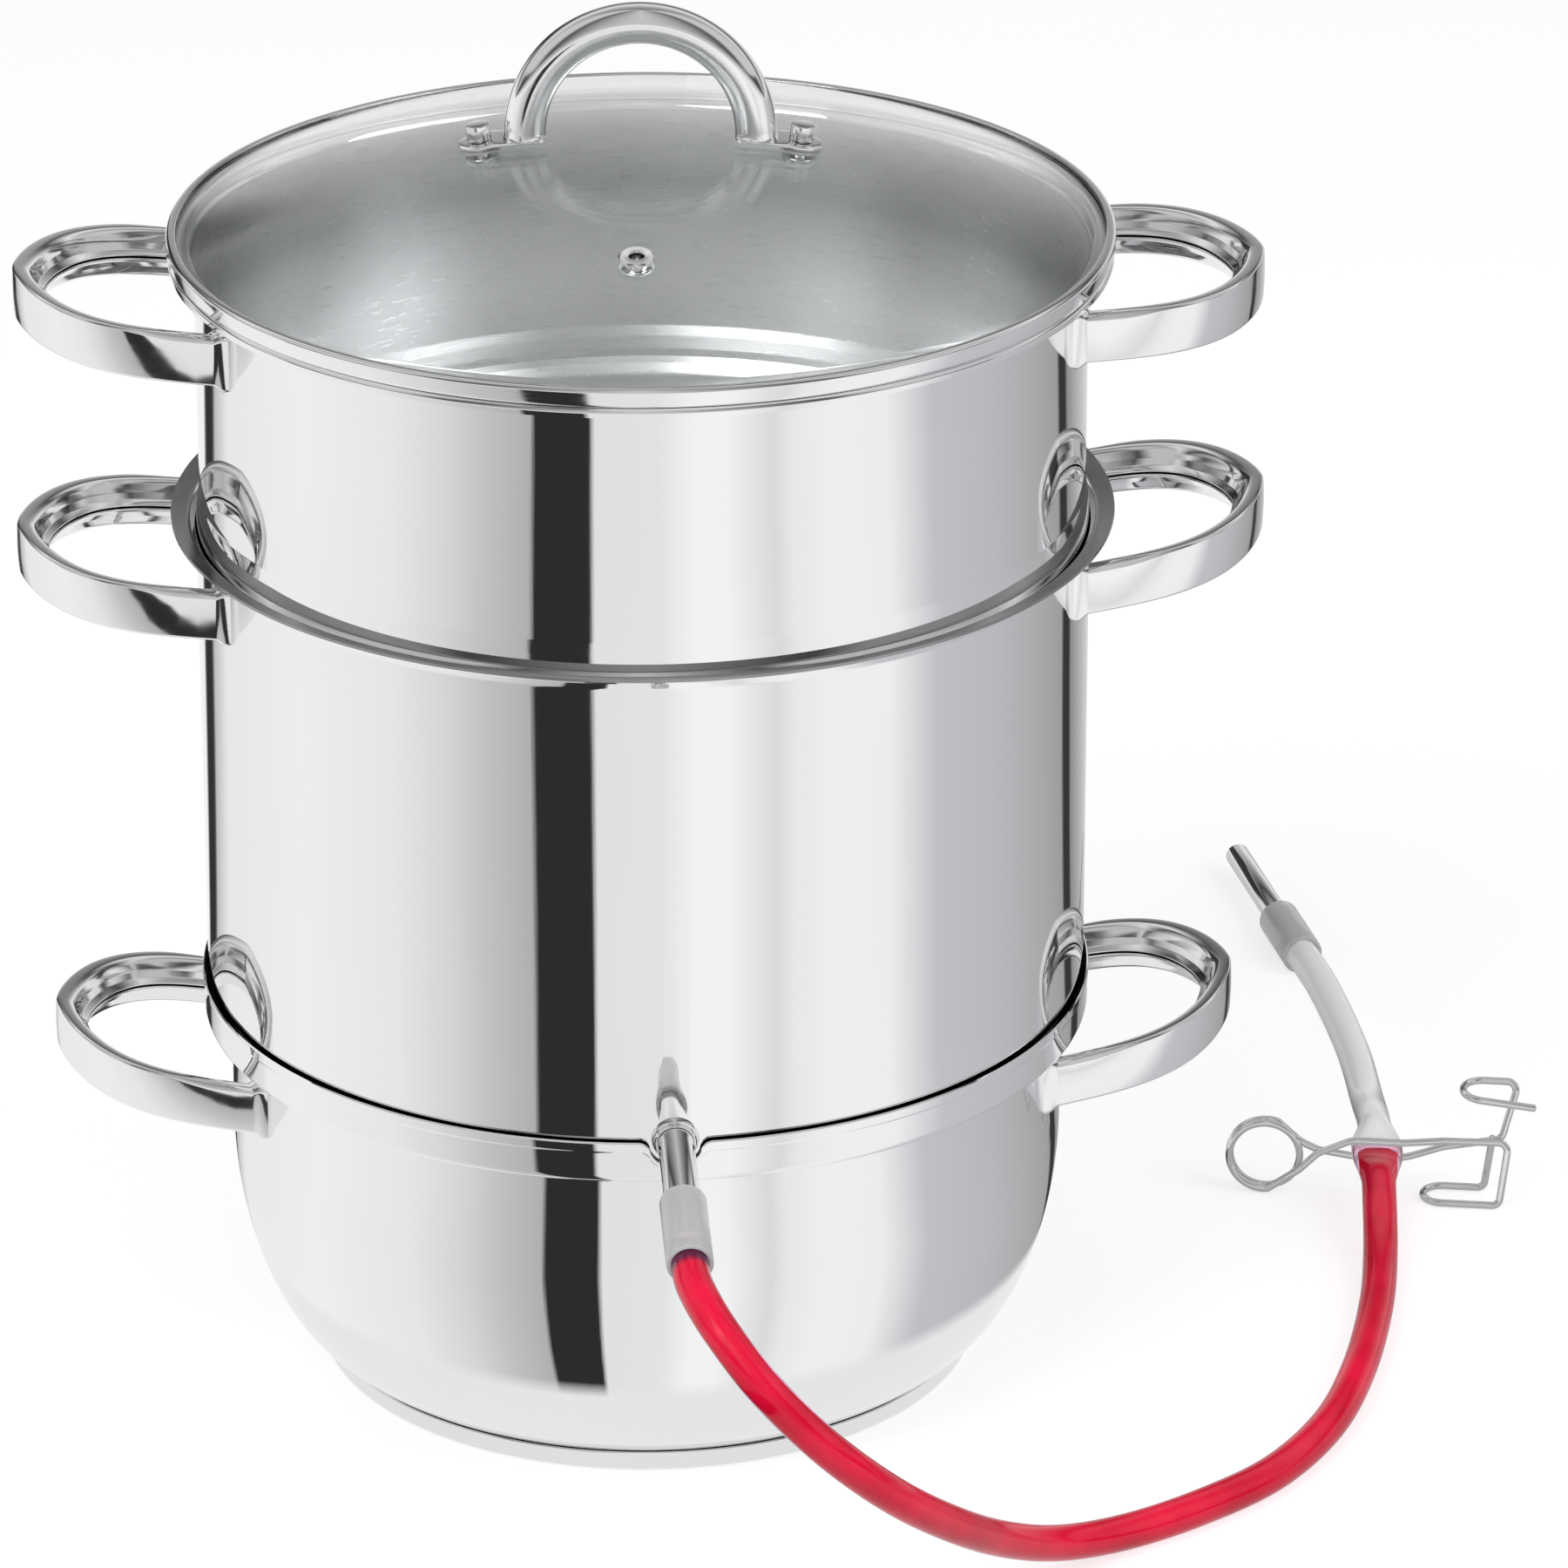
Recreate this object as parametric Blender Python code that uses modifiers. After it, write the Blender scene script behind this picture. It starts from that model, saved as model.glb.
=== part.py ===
"""Steam juicer: water pot, juice kettle with steam chimney and spout, fruit basket, glass lid,
and the juice hose with its sleeves, wire pinch clamp and filling nozzle.

Metres, +Z up. The origin is on the vessels' axis, on the surface that the pot stands on.
The spout points along -Y and the side handles along +X and -X.
"""

import math

import bmesh
import bpy
import numpy as np
from mathutils import Matrix, Vector

# Clearances and cuts
CLEARANCE = 0.0003
OVERRUN = 0.003
MERGE = 0.00001

# Roundness
AROUND = 40
AROUND_CHIMNEY = 24
AROUND_TUBE = 16
ROUTE_STEPS = 24

# Water pot and its encapsulated base
BASE_RADIUS = 0.0985
BASE_THICKNESS = 0.0067
BASE_EDGE = 0.0024
POT_RADIUS = 0.1235
POT_HEIGHT = 0.1226
POT_WALL = 0.0009
POT_FOOT_RADIUS = 0.0970
BELLY_WIDTH = 0.034
BELLY_HEIGHT = 0.070
BELLY_TOP = 0.075
BELLY_SWEEP = math.radians(69.0)
BELLY_STEPS = 7
COLLAR_DEPTH = 0.0133
COLLAR_CLEARANCE = 0.0004
COLLAR_EDGE = 0.0012
NOTCH_RADIUS = 0.0080
NOTCH_FLARE = 0.0034
NOTCH_LENGTH = 0.020

# Juice kettle
KETTLE_RADIUS = 0.1300
KETTLE_WALL = 0.0008
KETTLE_HEIGHT = 0.1567
KETTLE_FOOT_FILLET = 0.0030
KETTLE_FLANGE = 0.0073
KETTLE_FLANGE_RISE = 0.0009
SEAT_WIDTH = 0.0009
SEAT_HEIGHT = 0.0021
THROAT_DEPTH = 0.0021
FLOOR_RISE = 0.0060
FLOOR_FLAT = 0.0080

# Steam chimney
CHIMNEY_FOOT_RADIUS = 0.0350
CHIMNEY_TOP_RADIUS = 0.0210
CHIMNEY_HEIGHT = 0.0960
CHIMNEY_WALL = 0.0008
CHIMNEY_FLANGE = 0.0050
CHIMNEY_FLARE = 0.0040

# Fruit basket
BASKET_INSET = 0.0012
BASKET_WALL = 0.0008
BASKET_RISE = 0.0796
BASKET_DIP = 0.0450
BASKET_BEAD = 0.0011
BEAD_HEIGHT = 0.0075
BEAD_RAMP = 0.0030
BASKET_NECK_STEP = 0.0016
BASKET_FOOT_FILLET = 0.0080
BASKET_RIM_REACH = 0.0072
BASKET_RIM_DROP = 0.0027
BASKET_RIM_FILLET = 0.0022
SIEVE_RADIUS = 0.0026
SIEVE_PITCH = 0.0185
SIEVE_RINGS = 5
SIEVE_SIDES = 6

# Lid
LID_OVERHANG = 0.0005
LID_RING_WALL = 0.0007
LID_RING_EDGE = 0.0009
LID_TOP_LIP = 0.0028
LID_LOWER_LIP = 0.0063
GLASS_THICKNESS = 0.0035
GLASS_DOME = 0.0259
GLASS_BRIM = 0.0020
GLASS_STEPS = 5
LID_TURN = math.radians(-4.5)
ARCH_RADIUS = 0.0330
ARCH_TUBE = 0.0060
ARCH_STEPS = 14
ARCH_RESOLUTION = 4
TAB_WIDTH = 0.0130
TAB_THICKNESS = 0.0016
TAB_REACH = 0.0520
TAB_BITE = 0.0280
STUD_PLACE = 0.0456
STUD_SHANK = 0.0021
STUD_CAP_RADIUS = 0.0035
STUD_CAP_HEIGHT = 0.0045
STUD_HEAD_RADIUS = 0.0050
STUD_HEAD_HEIGHT = 0.0018
WASHER_RADIUS = 0.0060
WASHER_THICKNESS = 0.0010
VENT_PLACE = 0.0770
VENT_BORE = 0.0021
VENT_TUBE = 0.0033
VENT_FLANGE = 0.0056
VENT_FLANGE_HEIGHT = 0.0010

# Side handles
HANDLE_REACH = 0.0520
HANDLE_HALF_SPAN = 0.0420
HANDLE_WIDTH = 0.0095
HANDLE_HEIGHT = 0.0150
HANDLE_SQUARE_SHARE = 0.80
HANDLE_STEPS = 14
HANDLE_SUNK = 0.0040
HANDLE_FLARE_SHARE = 1.14
POT_HANDLE_Z = 0.0960
KETTLE_HANDLE_DROP = 0.0145
BASKET_HANDLE_DROP = 0.0165
HANDLE_SECTION_SHARES = (
    (0.05, 0.50), (0.34, 0.43), (0.50, 0.22), (0.50, -0.22), (0.34, -0.43), (0.05, -0.50),
    (-0.32, -0.50), (-0.50, -0.38), (-0.50, -0.20), (-0.20, 0.00),
    (-0.50, 0.20), (-0.50, 0.38), (-0.32, 0.50),
)

# Spout, sleeves and nozzle
SPOUT_SLOPE = math.radians(9.2)
SPOUT_RADIUS = 0.0052
SPOUT_WALL = 0.0007
SPOUT_LENGTH = 0.0535
SPOUT_INSIDE = 0.0030
COLLAR_RADIUS = 0.0066
COLLAR_THICKNESS = 0.0016
COLLAR_STEP = 0.0006
SLEEVE_LENGTH = 0.0300
SLEEVE_RADIUS = 0.0067
SLEEVE_OVER_HOSE = 0.0080
NOZZLE_RADIUS = 0.0040
NOZZLE_WALL = 0.0007
NOZZLE_LENGTH = 0.0720
NOZZLE_IN_SLEEVE = 0.0180
TUBE_EDGE = 0.0003

# Juice hose, laid along the floor to the right of the pot
HOSE_RADIUS = 0.0053
HOSE_WALL = 0.0018
HOSE_STEP = 0.0230
HOSE_RESOLUTION = 4
HOSE_ROUTE = (
    (0.0000, -0.1832, 0.1143),
    (0.0000, -0.1915, 0.1129),
    (0.0008, -0.2010, 0.1111),
    (0.0064, -0.2155, 0.1052),
    (0.0180, -0.2285, 0.0930),
    (0.0345, -0.2330, 0.0765),
    (0.0530, -0.2265, 0.0580),
    (0.0710, -0.2090, 0.0390),
    (0.0880, -0.1890, 0.0225),
    (0.1060, -0.1715, 0.0110),
    (0.1265, -0.1570, 0.0058),
    (0.1500, -0.1430, 0.0053),
    (0.1745, -0.1230, 0.0053),
    (0.1945, -0.0940, 0.0053),
    (0.2085, -0.0590, 0.0053),
    (0.2195, -0.0180, 0.0053),
    (0.2255, 0.0150, 0.0066),
    (0.2290, 0.0430, 0.0124),
    (0.2320, 0.0700, 0.0155),
    (0.2348, 0.0970, 0.0124),
    (0.2368, 0.1250, 0.0066),
    (0.2378, 0.1580, 0.0053),
    (0.2368, 0.1850, 0.0055),
    (0.2345, 0.2120, 0.0063),
    (0.2321, 0.2292, 0.0067),
    (0.23105, 0.2371, 0.0067),
    (0.2300, 0.2450, 0.0067),
)

# Wire pinch clamp, standing on the floor across the hose
PINCH_PLACE = (0.2320, 0.0700, 0.0155)
PINCH_LENGTH = 0.0420
PINCH_FLAT = 0.0070
PINCH_HALF_WIDTH = 0.0080
PINCH_RINGS = 13
PINCH_SIDES = 12
CLAMP_TURN = math.radians(-11.0)
WIRE_RADIUS = 0.00115
WIRE_RESOLUTION = 1
COIL_RADIUS = 0.01095
COIL_TURNS = 1.5
COIL_PITCH = 0.0028
COIL_POINTS = 24
COIL_TO_JAW = 0.0350
JAW_OFFSET = 0.0014
ARM_SPREAD = 0.0006
CLAMP_REACH = 0.0758
CLAMP_CROSSING = 0.0165
ARM_RISE = 0.0050
LOOP_LENGTH = 0.0230
LOOP_DEPTH = 0.0125
UPPER_LOOP_HEIGHT = 0.0375
WIRE_BEND = 0.0024
COIL_EXIT_SHARE = 0.33
COIL_END_SHARE = 0.997
PAST_JAWS_SHARE = 0.50
PAST_RISE_SHARE = 0.60
PAST_AWAY_SHARE = 0.50
LOOP_NOSE_SHARE = 0.25
LOOP_RETURN_SHARE = 0.60

# Levels and radii that follow
BASKET_RADIUS = KETTLE_RADIUS - BASKET_INSET
LID_RADIUS = BASKET_RADIUS + BASKET_RIM_REACH + LID_OVERHANG
SHOULDER_Z = POT_HEIGHT - COLLAR_DEPTH
COLLAR_OUTER = KETTLE_RADIUS + COLLAR_CLEARANCE + POT_WALL
KETTLE_FOOT_Z = SHOULDER_Z + POT_WALL + CLEARANCE
KETTLE_RIM_Z = KETTLE_FOOT_Z + KETTLE_HEIGHT
BASKET_RIM_Z = KETTLE_RIM_Z + BASKET_RISE
BASKET_FOOT_Z = KETTLE_RIM_Z - BASKET_DIP
LID_Z = BASKET_RIM_Z + CLEARANCE
GLASS_BRIM_Z = LID_Z + LID_RING_WALL + CLEARANCE + GLASS_THICKNESS
GLASS_RADIUS = LID_RADIUS - LID_RING_WALL - CLEARANCE
DOME_RADIUS = GLASS_RADIUS - GLASS_BRIM
DOME_SPHERE = (DOME_RADIUS ** 2 + GLASS_DOME ** 2) / (2 * GLASS_DOME)
FLOOR_REACH = KETTLE_RADIUS - KETTLE_FOOT_FILLET - FLOOR_FLAT
CHIMNEY_HOLE = CHIMNEY_FOOT_RADIUS - CHIMNEY_FLARE
FLOOR_SLOPE = FLOOR_RISE / (FLOOR_REACH - CHIMNEY_HOLE)


# Scene helpers

def clear_scene():
    for item in list(bpy.data.objects):
        bpy.data.objects.remove(item, do_unlink=True)


def collection(name):
    group = bpy.data.collections.new(name)
    bpy.context.scene.collection.children.link(group)
    return group


def principled(name, colour, roughness, metallic):
    material = bpy.data.materials.new(name)
    material.use_nodes = True
    shader = material.node_tree.nodes["Principled BSDF"]
    shader.inputs["Base Color"].default_value = (*colour, 1.0)
    shader.inputs["Roughness"].default_value = roughness
    shader.inputs["Metallic"].default_value = metallic
    return material


def empty(name, parent=None):
    item = bpy.data.objects.new(name, None)
    item.parent = parent
    PARTS.objects.link(item)
    return item


def part(name, data, parent, material):
    item = bpy.data.objects.new(name, data)
    item.parent = parent
    data.materials.clear()
    data.materials.append(material)
    PARTS.objects.link(item)
    return item


def hide_cutter(item):
    item.hide_render = True
    item.display_type = "WIRE"
    return item


def smooth(mesh, angle=math.radians(35.0)):
    mesh.shade_smooth()
    mesh.set_sharp_from_angle(angle=angle)


# Modelling helpers

def outline_mesh(name, outline, closed):
    """Edges of a profile in the XZ plane, radius along X."""
    mesh = bpy.data.meshes.new(name)
    points = [(radius, 0.0, height) for radius, height in outline]
    edges = [(i, i + 1) for i in range(len(points) - 1)]
    if closed:
        edges.append((len(points) - 1, 0))
    mesh.from_pydata(points, edges, [])
    return mesh


def screw(item, steps):
    turn = item.modifiers.new("turned", "SCREW")
    turn.axis = "Z"
    turn.angle = math.tau
    turn.steps = steps
    turn.render_steps = steps
    turn.use_merge_vertices = True
    turn.merge_threshold = MERGE
    turn.use_smooth_shade = True
    return turn


def turned(name, outline, parent, material, closed=False, steps=AROUND, thickness=None):
    """A profile turned about Z; with a thickness it is a sheet, thickened inwards."""
    item = part(name, outline_mesh(name, outline, closed), parent, material)
    screw(item, steps)
    if thickness:
        sheet = item.modifiers.new("sheet", "SOLIDIFY")
        sheet.thickness = thickness
        sheet.offset = -1.0
        sheet.use_even_offset = True
    return item


def cut(item, cutter, operation="DIFFERENCE"):
    step = item.modifiers.new(operation.lower(), "BOOLEAN")
    step.operation = operation
    step.solver = "EXACT"
    step.object = cutter
    return step


def cylinder_cutter(name, radius, low, high, frame=Matrix(), steps=AROUND):
    """A closed cylinder along the frame's Z, from low to high."""
    shape = bmesh.new()
    middle = Matrix.Translation((0.0, 0.0, (low + high) / 2))
    bmesh.ops.create_cone(
        shape, cap_ends=True, segments=steps, radius1=radius, radius2=radius,
        depth=high - low, matrix=frame @ middle,
    )
    mesh = bpy.data.meshes.new(name)
    shape.to_mesh(mesh)
    shape.free()
    item = bpy.data.objects.new(name, mesh)
    CUTTERS.objects.link(item)
    return hide_cutter(item)


def poly_curve(name, points, closed=False, dimensions="3D", radii=None):
    curve = bpy.data.curves.new(name, "CURVE")
    curve.dimensions = dimensions
    spline = curve.splines.new("POLY")
    spline.points.add(len(points) - 1)
    for index, point in enumerate(points):
        spline.points[index].co = (*point, 1.0)
        if radii:
            spline.points[index].radius = radii[index]
    spline.use_cyclic_u = closed
    return curve


def meshed(curve_item):
    """The curve's evaluated surface as a welded mesh, in world places; the curve goes."""
    bpy.context.view_layer.update()
    graph = bpy.context.evaluated_depsgraph_get()
    mesh = bpy.data.meshes.new_from_object(curve_item.evaluated_get(graph))
    mesh.transform(curve_item.matrix_world)
    shape = bmesh.new()
    shape.from_mesh(mesh)
    bmesh.ops.remove_doubles(shape, verts=shape.verts, dist=MERGE)
    bmesh.ops.recalc_face_normals(shape, faces=shape.faces)
    shape.to_mesh(mesh)
    shape.free()
    mesh.name = curve_item.name
    bpy.data.objects.remove(curve_item, do_unlink=True)
    return mesh


def flat_cutter(name, outline, half, frame):
    """A flat outline thickened to both sides of the frame's XY plane, as a cutter."""
    curve = poly_curve(name, [(x, y, 0.0) for x, y in outline], closed=True, dimensions="2D")
    curve.fill_mode = "BOTH"
    curve.extrude = half
    item = bpy.data.objects.new(name, curve)
    item.matrix_world = frame
    CUTTERS.objects.link(item)
    mesh = meshed(item)
    cutter = bpy.data.objects.new(name, mesh)
    CUTTERS.objects.link(cutter)
    return hide_cutter(cutter)


def arc(centre, radius, start, end, steps):
    """Points of a circular arc in a plane, its angles in radians."""
    angles = np.linspace(start, end, steps + 1)
    return [
        (centre[0] + radius * math.cos(angle), centre[1] + radius * math.sin(angle))
        for angle in angles
    ]


def offset_line(start, end, distance):
    """Both ends of a plane line moved square to it, to its right as it runs."""
    run = Vector(end) - Vector(start)
    side = Vector((run.y, -run.x)).normalized() * distance
    return tuple(Vector(start) + side), tuple(Vector(end) + side)


def smooth_route(points):
    """Close points of a Catmull-Rom curve through the given points, and their lengths along."""
    given = [Vector(point) for point in points]
    ends = [2 * given[0] - given[1], *given, 2 * given[-1] - given[-2]]
    dense = []
    for a, b, c, d in zip(ends, ends[1:], ends[2:], ends[3:]):
        for t in np.linspace(0.0, 1.0, ROUTE_STEPS, endpoint=False):
            dense.append(0.5 * (
                2 * b + (c - a) * t + (2 * a - 5 * b + 4 * c - d) * t ** 2
                + (3 * b - a - 3 * c + d) * t ** 3
            ))
    dense.append(given[-1])
    along = np.concatenate([[0.0], np.cumsum([(q - p).length for p, q in zip(dense, dense[1:])])])
    return dense, along


def on_route(route, places):
    """Points of a route at the given lengths along it."""
    dense, along = route
    coords = np.array([tuple(point) for point in dense])
    return [
        Vector([float(np.interp(place, along, coords[:, axis])) for axis in range(3)])
        for place in places
    ]


# Vessels

def belly_outline():
    """Lower wall of the pot: a quarter ellipse, cut off where it meets the base."""
    points = []
    for angle in np.linspace(0.0, BELLY_SWEEP, BELLY_STEPS + 1):
        radius = POT_RADIUS - BELLY_WIDTH * (1.0 - math.cos(angle))
        points.append((radius, BELLY_TOP - BELLY_HEIGHT * math.sin(angle)))
    return points


def notch_outline():
    """The rim's notch seen from the front: a round bottom, and sides that flare at the rim."""
    centre_z = spout_height(COLLAR_OUTER)
    half = NOTCH_RADIUS
    flare = NOTCH_FLARE
    flare_z = POT_HEIGHT - flare
    bottom = arc((0.0, centre_z), half, math.pi, math.tau, 10)
    right = [
        (half + flare - flare * math.cos(angle), flare_z + flare * math.sin(angle))
        for angle in np.linspace(0.0, math.pi / 2, 4)
    ]
    top = [(half + flare, POT_HEIGHT + OVERRUN), (-half - flare, POT_HEIGHT + OVERRUN)]
    left = [(-x, z) for x, z in reversed(right)]
    low = [point for point in bottom if point[1] < flare_z]
    return low + right + top + left


def water_pot(parent):
    corner = COLLAR_OUTER - COLLAR_EDGE
    outline = [
        (COLLAR_OUTER, POT_HEIGHT),
        (COLLAR_OUTER, SHOULDER_Z + COLLAR_EDGE),
        (corner, SHOULDER_Z),
        (POT_RADIUS + COLLAR_EDGE, SHOULDER_Z),
        (POT_RADIUS, SHOULDER_Z - COLLAR_EDGE),
        *belly_outline(),
        (POT_FOOT_RADIUS, BASE_THICKNESS + CLEARANCE),
        (0.0, BASE_THICKNESS + CLEARANCE),
    ]
    pot = turned("water_pot", outline, parent, STEEL, thickness=POT_WALL)
    front = Matrix.Translation((0.0, -COLLAR_OUTER, 0.0)) @ Matrix.Rotation(math.pi / 2, 4, "X")
    cut(pot, flat_cutter("notch_cutter", notch_outline(), NOTCH_LENGTH / 2, front))
    return pot


def pot_base(parent):
    """Capsule base: a steel shell pressed over an aluminium core."""
    outline = [
        (0.0, BASE_THICKNESS),
        (BASE_RADIUS, BASE_THICKNESS),
        (BASE_RADIUS, BASE_EDGE),
        (BASE_RADIUS - BASE_EDGE, 0.0),
        (0.0, 0.0),
    ]
    return turned("pot_base", outline, parent, CAPSULE)


def kettle_seat():
    """Outer side of the funnel that the basket's bead rests on, upper end first."""
    high_z = KETTLE_RIM_Z - KETTLE_WALL - KETTLE_FLANGE_RISE - THROAT_DEPTH
    return (KETTLE_RADIUS + SEAT_WIDTH, high_z), (KETTLE_RADIUS, high_z - SEAT_HEIGHT)


def kettle_outline():
    seat_high, seat_low = kettle_seat()
    edge_z = KETTLE_RIM_Z - KETTLE_WALL
    fillet = KETTLE_FOOT_FILLET
    foot = arc(
        (KETTLE_RADIUS - fillet, KETTLE_FOOT_Z + fillet), fillet, 0.0, -math.pi / 2, 3
    )
    return [
        (KETTLE_RADIUS + KETTLE_FLANGE, edge_z),
        (KETTLE_RADIUS + KETTLE_FLANGE / 2, edge_z - KETTLE_FLANGE_RISE / 2),
        (seat_high[0] + THROAT_DEPTH / 2, edge_z - KETTLE_FLANGE_RISE - THROAT_DEPTH / 2),
        seat_high,
        seat_low,
        *foot,
        (FLOOR_REACH, KETTLE_FOOT_Z),
        (CHIMNEY_HOLE, KETTLE_FOOT_Z + FLOOR_RISE),
    ]


def kettle_floor(radius):
    """Height clear above the kettle's floor, which rises evenly towards the chimney's hole."""
    clear = (KETTLE_WALL + CLEARANCE) * math.hypot(1.0, FLOOR_SLOPE)
    return KETTLE_FOOT_Z + (FLOOR_REACH - radius) * FLOOR_SLOPE + clear


def spout_height(radius):
    """Height of the spout's axis at a distance from the vessels' axis."""
    at_wall = POT_HEIGHT + CLEARANCE
    return at_wall - (radius - KETTLE_RADIUS) * math.tan(SPOUT_SLOPE)


def spout_frame(radius):
    """Frame on the spout's axis at a distance from the vessels' axis, Z pointing outwards."""
    place = Matrix.Translation((0.0, -radius, spout_height(radius)))
    return place @ Matrix.Rotation(math.pi / 2 + SPOUT_SLOPE, 4, "X")


def juice_kettle(parent):
    kettle = turned("juice_kettle", kettle_outline(), parent, STEEL, thickness=KETTLE_WALL)
    hole = cylinder_cutter(
        "spout_hole_cutter", SPOUT_RADIUS + CLEARANCE, -2 * OVERRUN, 2 * OVERRUN,
        spout_frame(KETTLE_RADIUS), AROUND_TUBE,
    )
    cut(kettle, hole)
    return kettle


def steam_chimney(parent):
    """Open cone welded over the hole in the kettle's floor, on a flange that lies on the slope."""
    flange = CHIMNEY_FOOT_RADIUS + CHIMNEY_FLANGE
    foot_z = kettle_floor(CHIMNEY_FOOT_RADIUS)
    thickness = CHIMNEY_WALL
    outline = [
        (CHIMNEY_TOP_RADIUS, foot_z + CHIMNEY_HEIGHT),
        (CHIMNEY_FOOT_RADIUS, foot_z + CHIMNEY_FLARE),
        (CHIMNEY_FOOT_RADIUS + thickness, foot_z + 2 * thickness),
        (flange, kettle_floor(flange) + thickness),
    ]
    return turned(
        "steam_chimney", outline, parent, STEEL, steps=AROUND_CHIMNEY, thickness=thickness
    )


def basket_outline():
    seat_high, seat_low = kettle_seat()
    inwards = KETTLE_WALL + CLEARANCE
    bead_low, neck_top = offset_line(seat_high, seat_low, inwards)
    bead_radius = BASKET_RADIUS + BASKET_BEAD
    bead_top = bead_low[1] + BEAD_HEIGHT
    neck = neck_top[0] - CLEARANCE
    rim_z = BASKET_RIM_Z - BASKET_WALL
    lip = BASKET_RADIUS + BASKET_RIM_REACH - BASKET_WALL
    fillet = BASKET_RIM_FILLET
    foot_fillet = BASKET_FOOT_FILLET
    shift = (bead_radius - bead_low[0])
    return [
        (lip, BASKET_RIM_Z - BASKET_RIM_DROP),
        (lip, rim_z),
        (BASKET_RADIUS + fillet, rim_z),
        (BASKET_RADIUS, rim_z - fillet),
        (BASKET_RADIUS, bead_top + BEAD_RAMP),
        (bead_radius, bead_top),
        (bead_radius, bead_low[1] + BEAD_RAMP + shift),
        bead_low,
        neck_top,
        (neck - BASKET_NECK_STEP, neck_top[1] - BEAD_RAMP),
        *arc(
            (neck - BASKET_NECK_STEP - foot_fillet, BASKET_FOOT_Z + foot_fillet),
            foot_fillet, 0.0, -math.pi / 2, 3,
        ),
        (0.0, BASKET_FOOT_Z),
    ]


def sieve_cutter():
    """All the drain holes as one mesh of short posts, in rings round the middle."""
    shape = bmesh.new()
    for ring in range(1, SIEVE_RINGS + 1):
        for step in range(6 * ring):
            angle = math.tau * step / (6 * ring)
            radius = SIEVE_PITCH * ring
            place = Matrix.Translation((
                radius * math.cos(angle), radius * math.sin(angle), BASKET_FOOT_Z,
            ))
            bmesh.ops.create_cone(
                shape, cap_ends=True, segments=SIEVE_SIDES, radius1=SIEVE_RADIUS,
                radius2=SIEVE_RADIUS, depth=2 * OVERRUN, matrix=place,
            )
    mesh = bpy.data.meshes.new("sieve_cutter")
    shape.to_mesh(mesh)
    shape.free()
    item = bpy.data.objects.new("sieve_cutter", mesh)
    CUTTERS.objects.link(item)
    return hide_cutter(item)


def fruit_basket(parent):
    basket = turned("fruit_basket", basket_outline(), parent, STEEL, thickness=BASKET_WALL)
    cut(basket, sieve_cutter())
    return basket


# Side handles

def side_handle(name, parent, wall_radius, height, side):
    """Hollow-rolled loop: a D-shaped section with a grooved inner side, swept round an arch."""
    start = math.sqrt(wall_radius ** 2 - HANDLE_HALF_SPAN ** 2) - HANDLE_SUNK
    reach = wall_radius + HANDLE_REACH - HANDLE_WIDTH / 2 - start
    points = []
    radii = []
    power = HANDLE_SQUARE_SHARE
    for angle in np.linspace(-math.pi / 2, math.pi / 2, HANDLE_STEPS + 1):
        across = math.copysign(abs(math.sin(angle)) ** power, angle) * HANDLE_HALF_SPAN
        out = abs(math.cos(angle)) ** power * reach
        points.append(((start + out) * side, across * side, height))
        radii.append(HANDLE_FLARE_SHARE if out < 2 * HANDLE_SUNK else 1.0)
    curve = poly_curve(name, points, radii=radii)
    curve.twist_mode = "Z_UP"
    curve.bevel_mode = "OBJECT"
    curve.bevel_object = HANDLE_SECTION
    curve.use_fill_caps = True
    path = bpy.data.objects.new(name + "_path", curve)
    PARTS.objects.link(path)
    mesh = meshed(path)
    smooth(mesh)
    item = part(name, mesh, parent, STEEL)
    seat = cylinder_cutter(
        name + "_seat_cutter", wall_radius + CLEARANCE,
        height - HANDLE_HEIGHT, height + HANDLE_HEIGHT,
    )
    cut(item, seat)
    return item


def handle_section():
    outline = [
        (x * HANDLE_WIDTH, y * HANDLE_HEIGHT, 0.0) for x, y in HANDLE_SECTION_SHARES
    ]
    item = bpy.data.objects.new("handle_section", poly_curve("handle_section", outline, True, "2D"))
    CUTTERS.objects.link(item)
    return hide_cutter(item)


# Lid

def dome_height(radius):
    """Height of the glass's upper face at a distance from the axis: a sphere's cap."""
    return GLASS_BRIM_Z + GLASS_DOME - DOME_SPHERE + math.sqrt(DOME_SPHERE ** 2 - radius ** 2)


def dome_frame(radius, bearing, lift):
    """Frame square to the glass, at a distance and bearing from the axis, lifted off it."""
    turn = Matrix.Rotation(bearing, 4, "Z")
    place = Matrix.Translation((radius, 0.0, dome_height(radius)))
    tilt = Matrix.Rotation(math.asin(radius / DOME_SPHERE), 4, "Y")
    return turn @ place @ tilt @ Matrix.Translation((0.0, 0.0, lift))


def lid_glass(parent):
    outline = [
        (radius, dome_height(radius)) for radius in np.linspace(0.0, DOME_RADIUS, GLASS_STEPS + 1)
    ]
    outline.append((GLASS_RADIUS, GLASS_BRIM_Z))
    glass = turned("lid_glass", outline, parent, GLASS, thickness=GLASS_THICKNESS)
    holes = (
        ("stud_hole_right_cutter", STUD_PLACE, 0.0, STUD_SHANK),
        ("stud_hole_left_cutter", STUD_PLACE, math.pi, STUD_SHANK),
        ("vent_hole_cutter", VENT_PLACE, -math.pi / 2, VENT_TUBE),
    )
    for name, radius, bearing, hole in holes:
        frame = parent.matrix_world @ dome_frame(radius, bearing, 0.0)
        cutter = cylinder_cutter(
            name, hole + CLEARANCE, -GLASS_THICKNESS - OVERRUN, OVERRUN, frame, AROUND_TUBE
        )
        cut(glass, cutter)
    return glass


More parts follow.
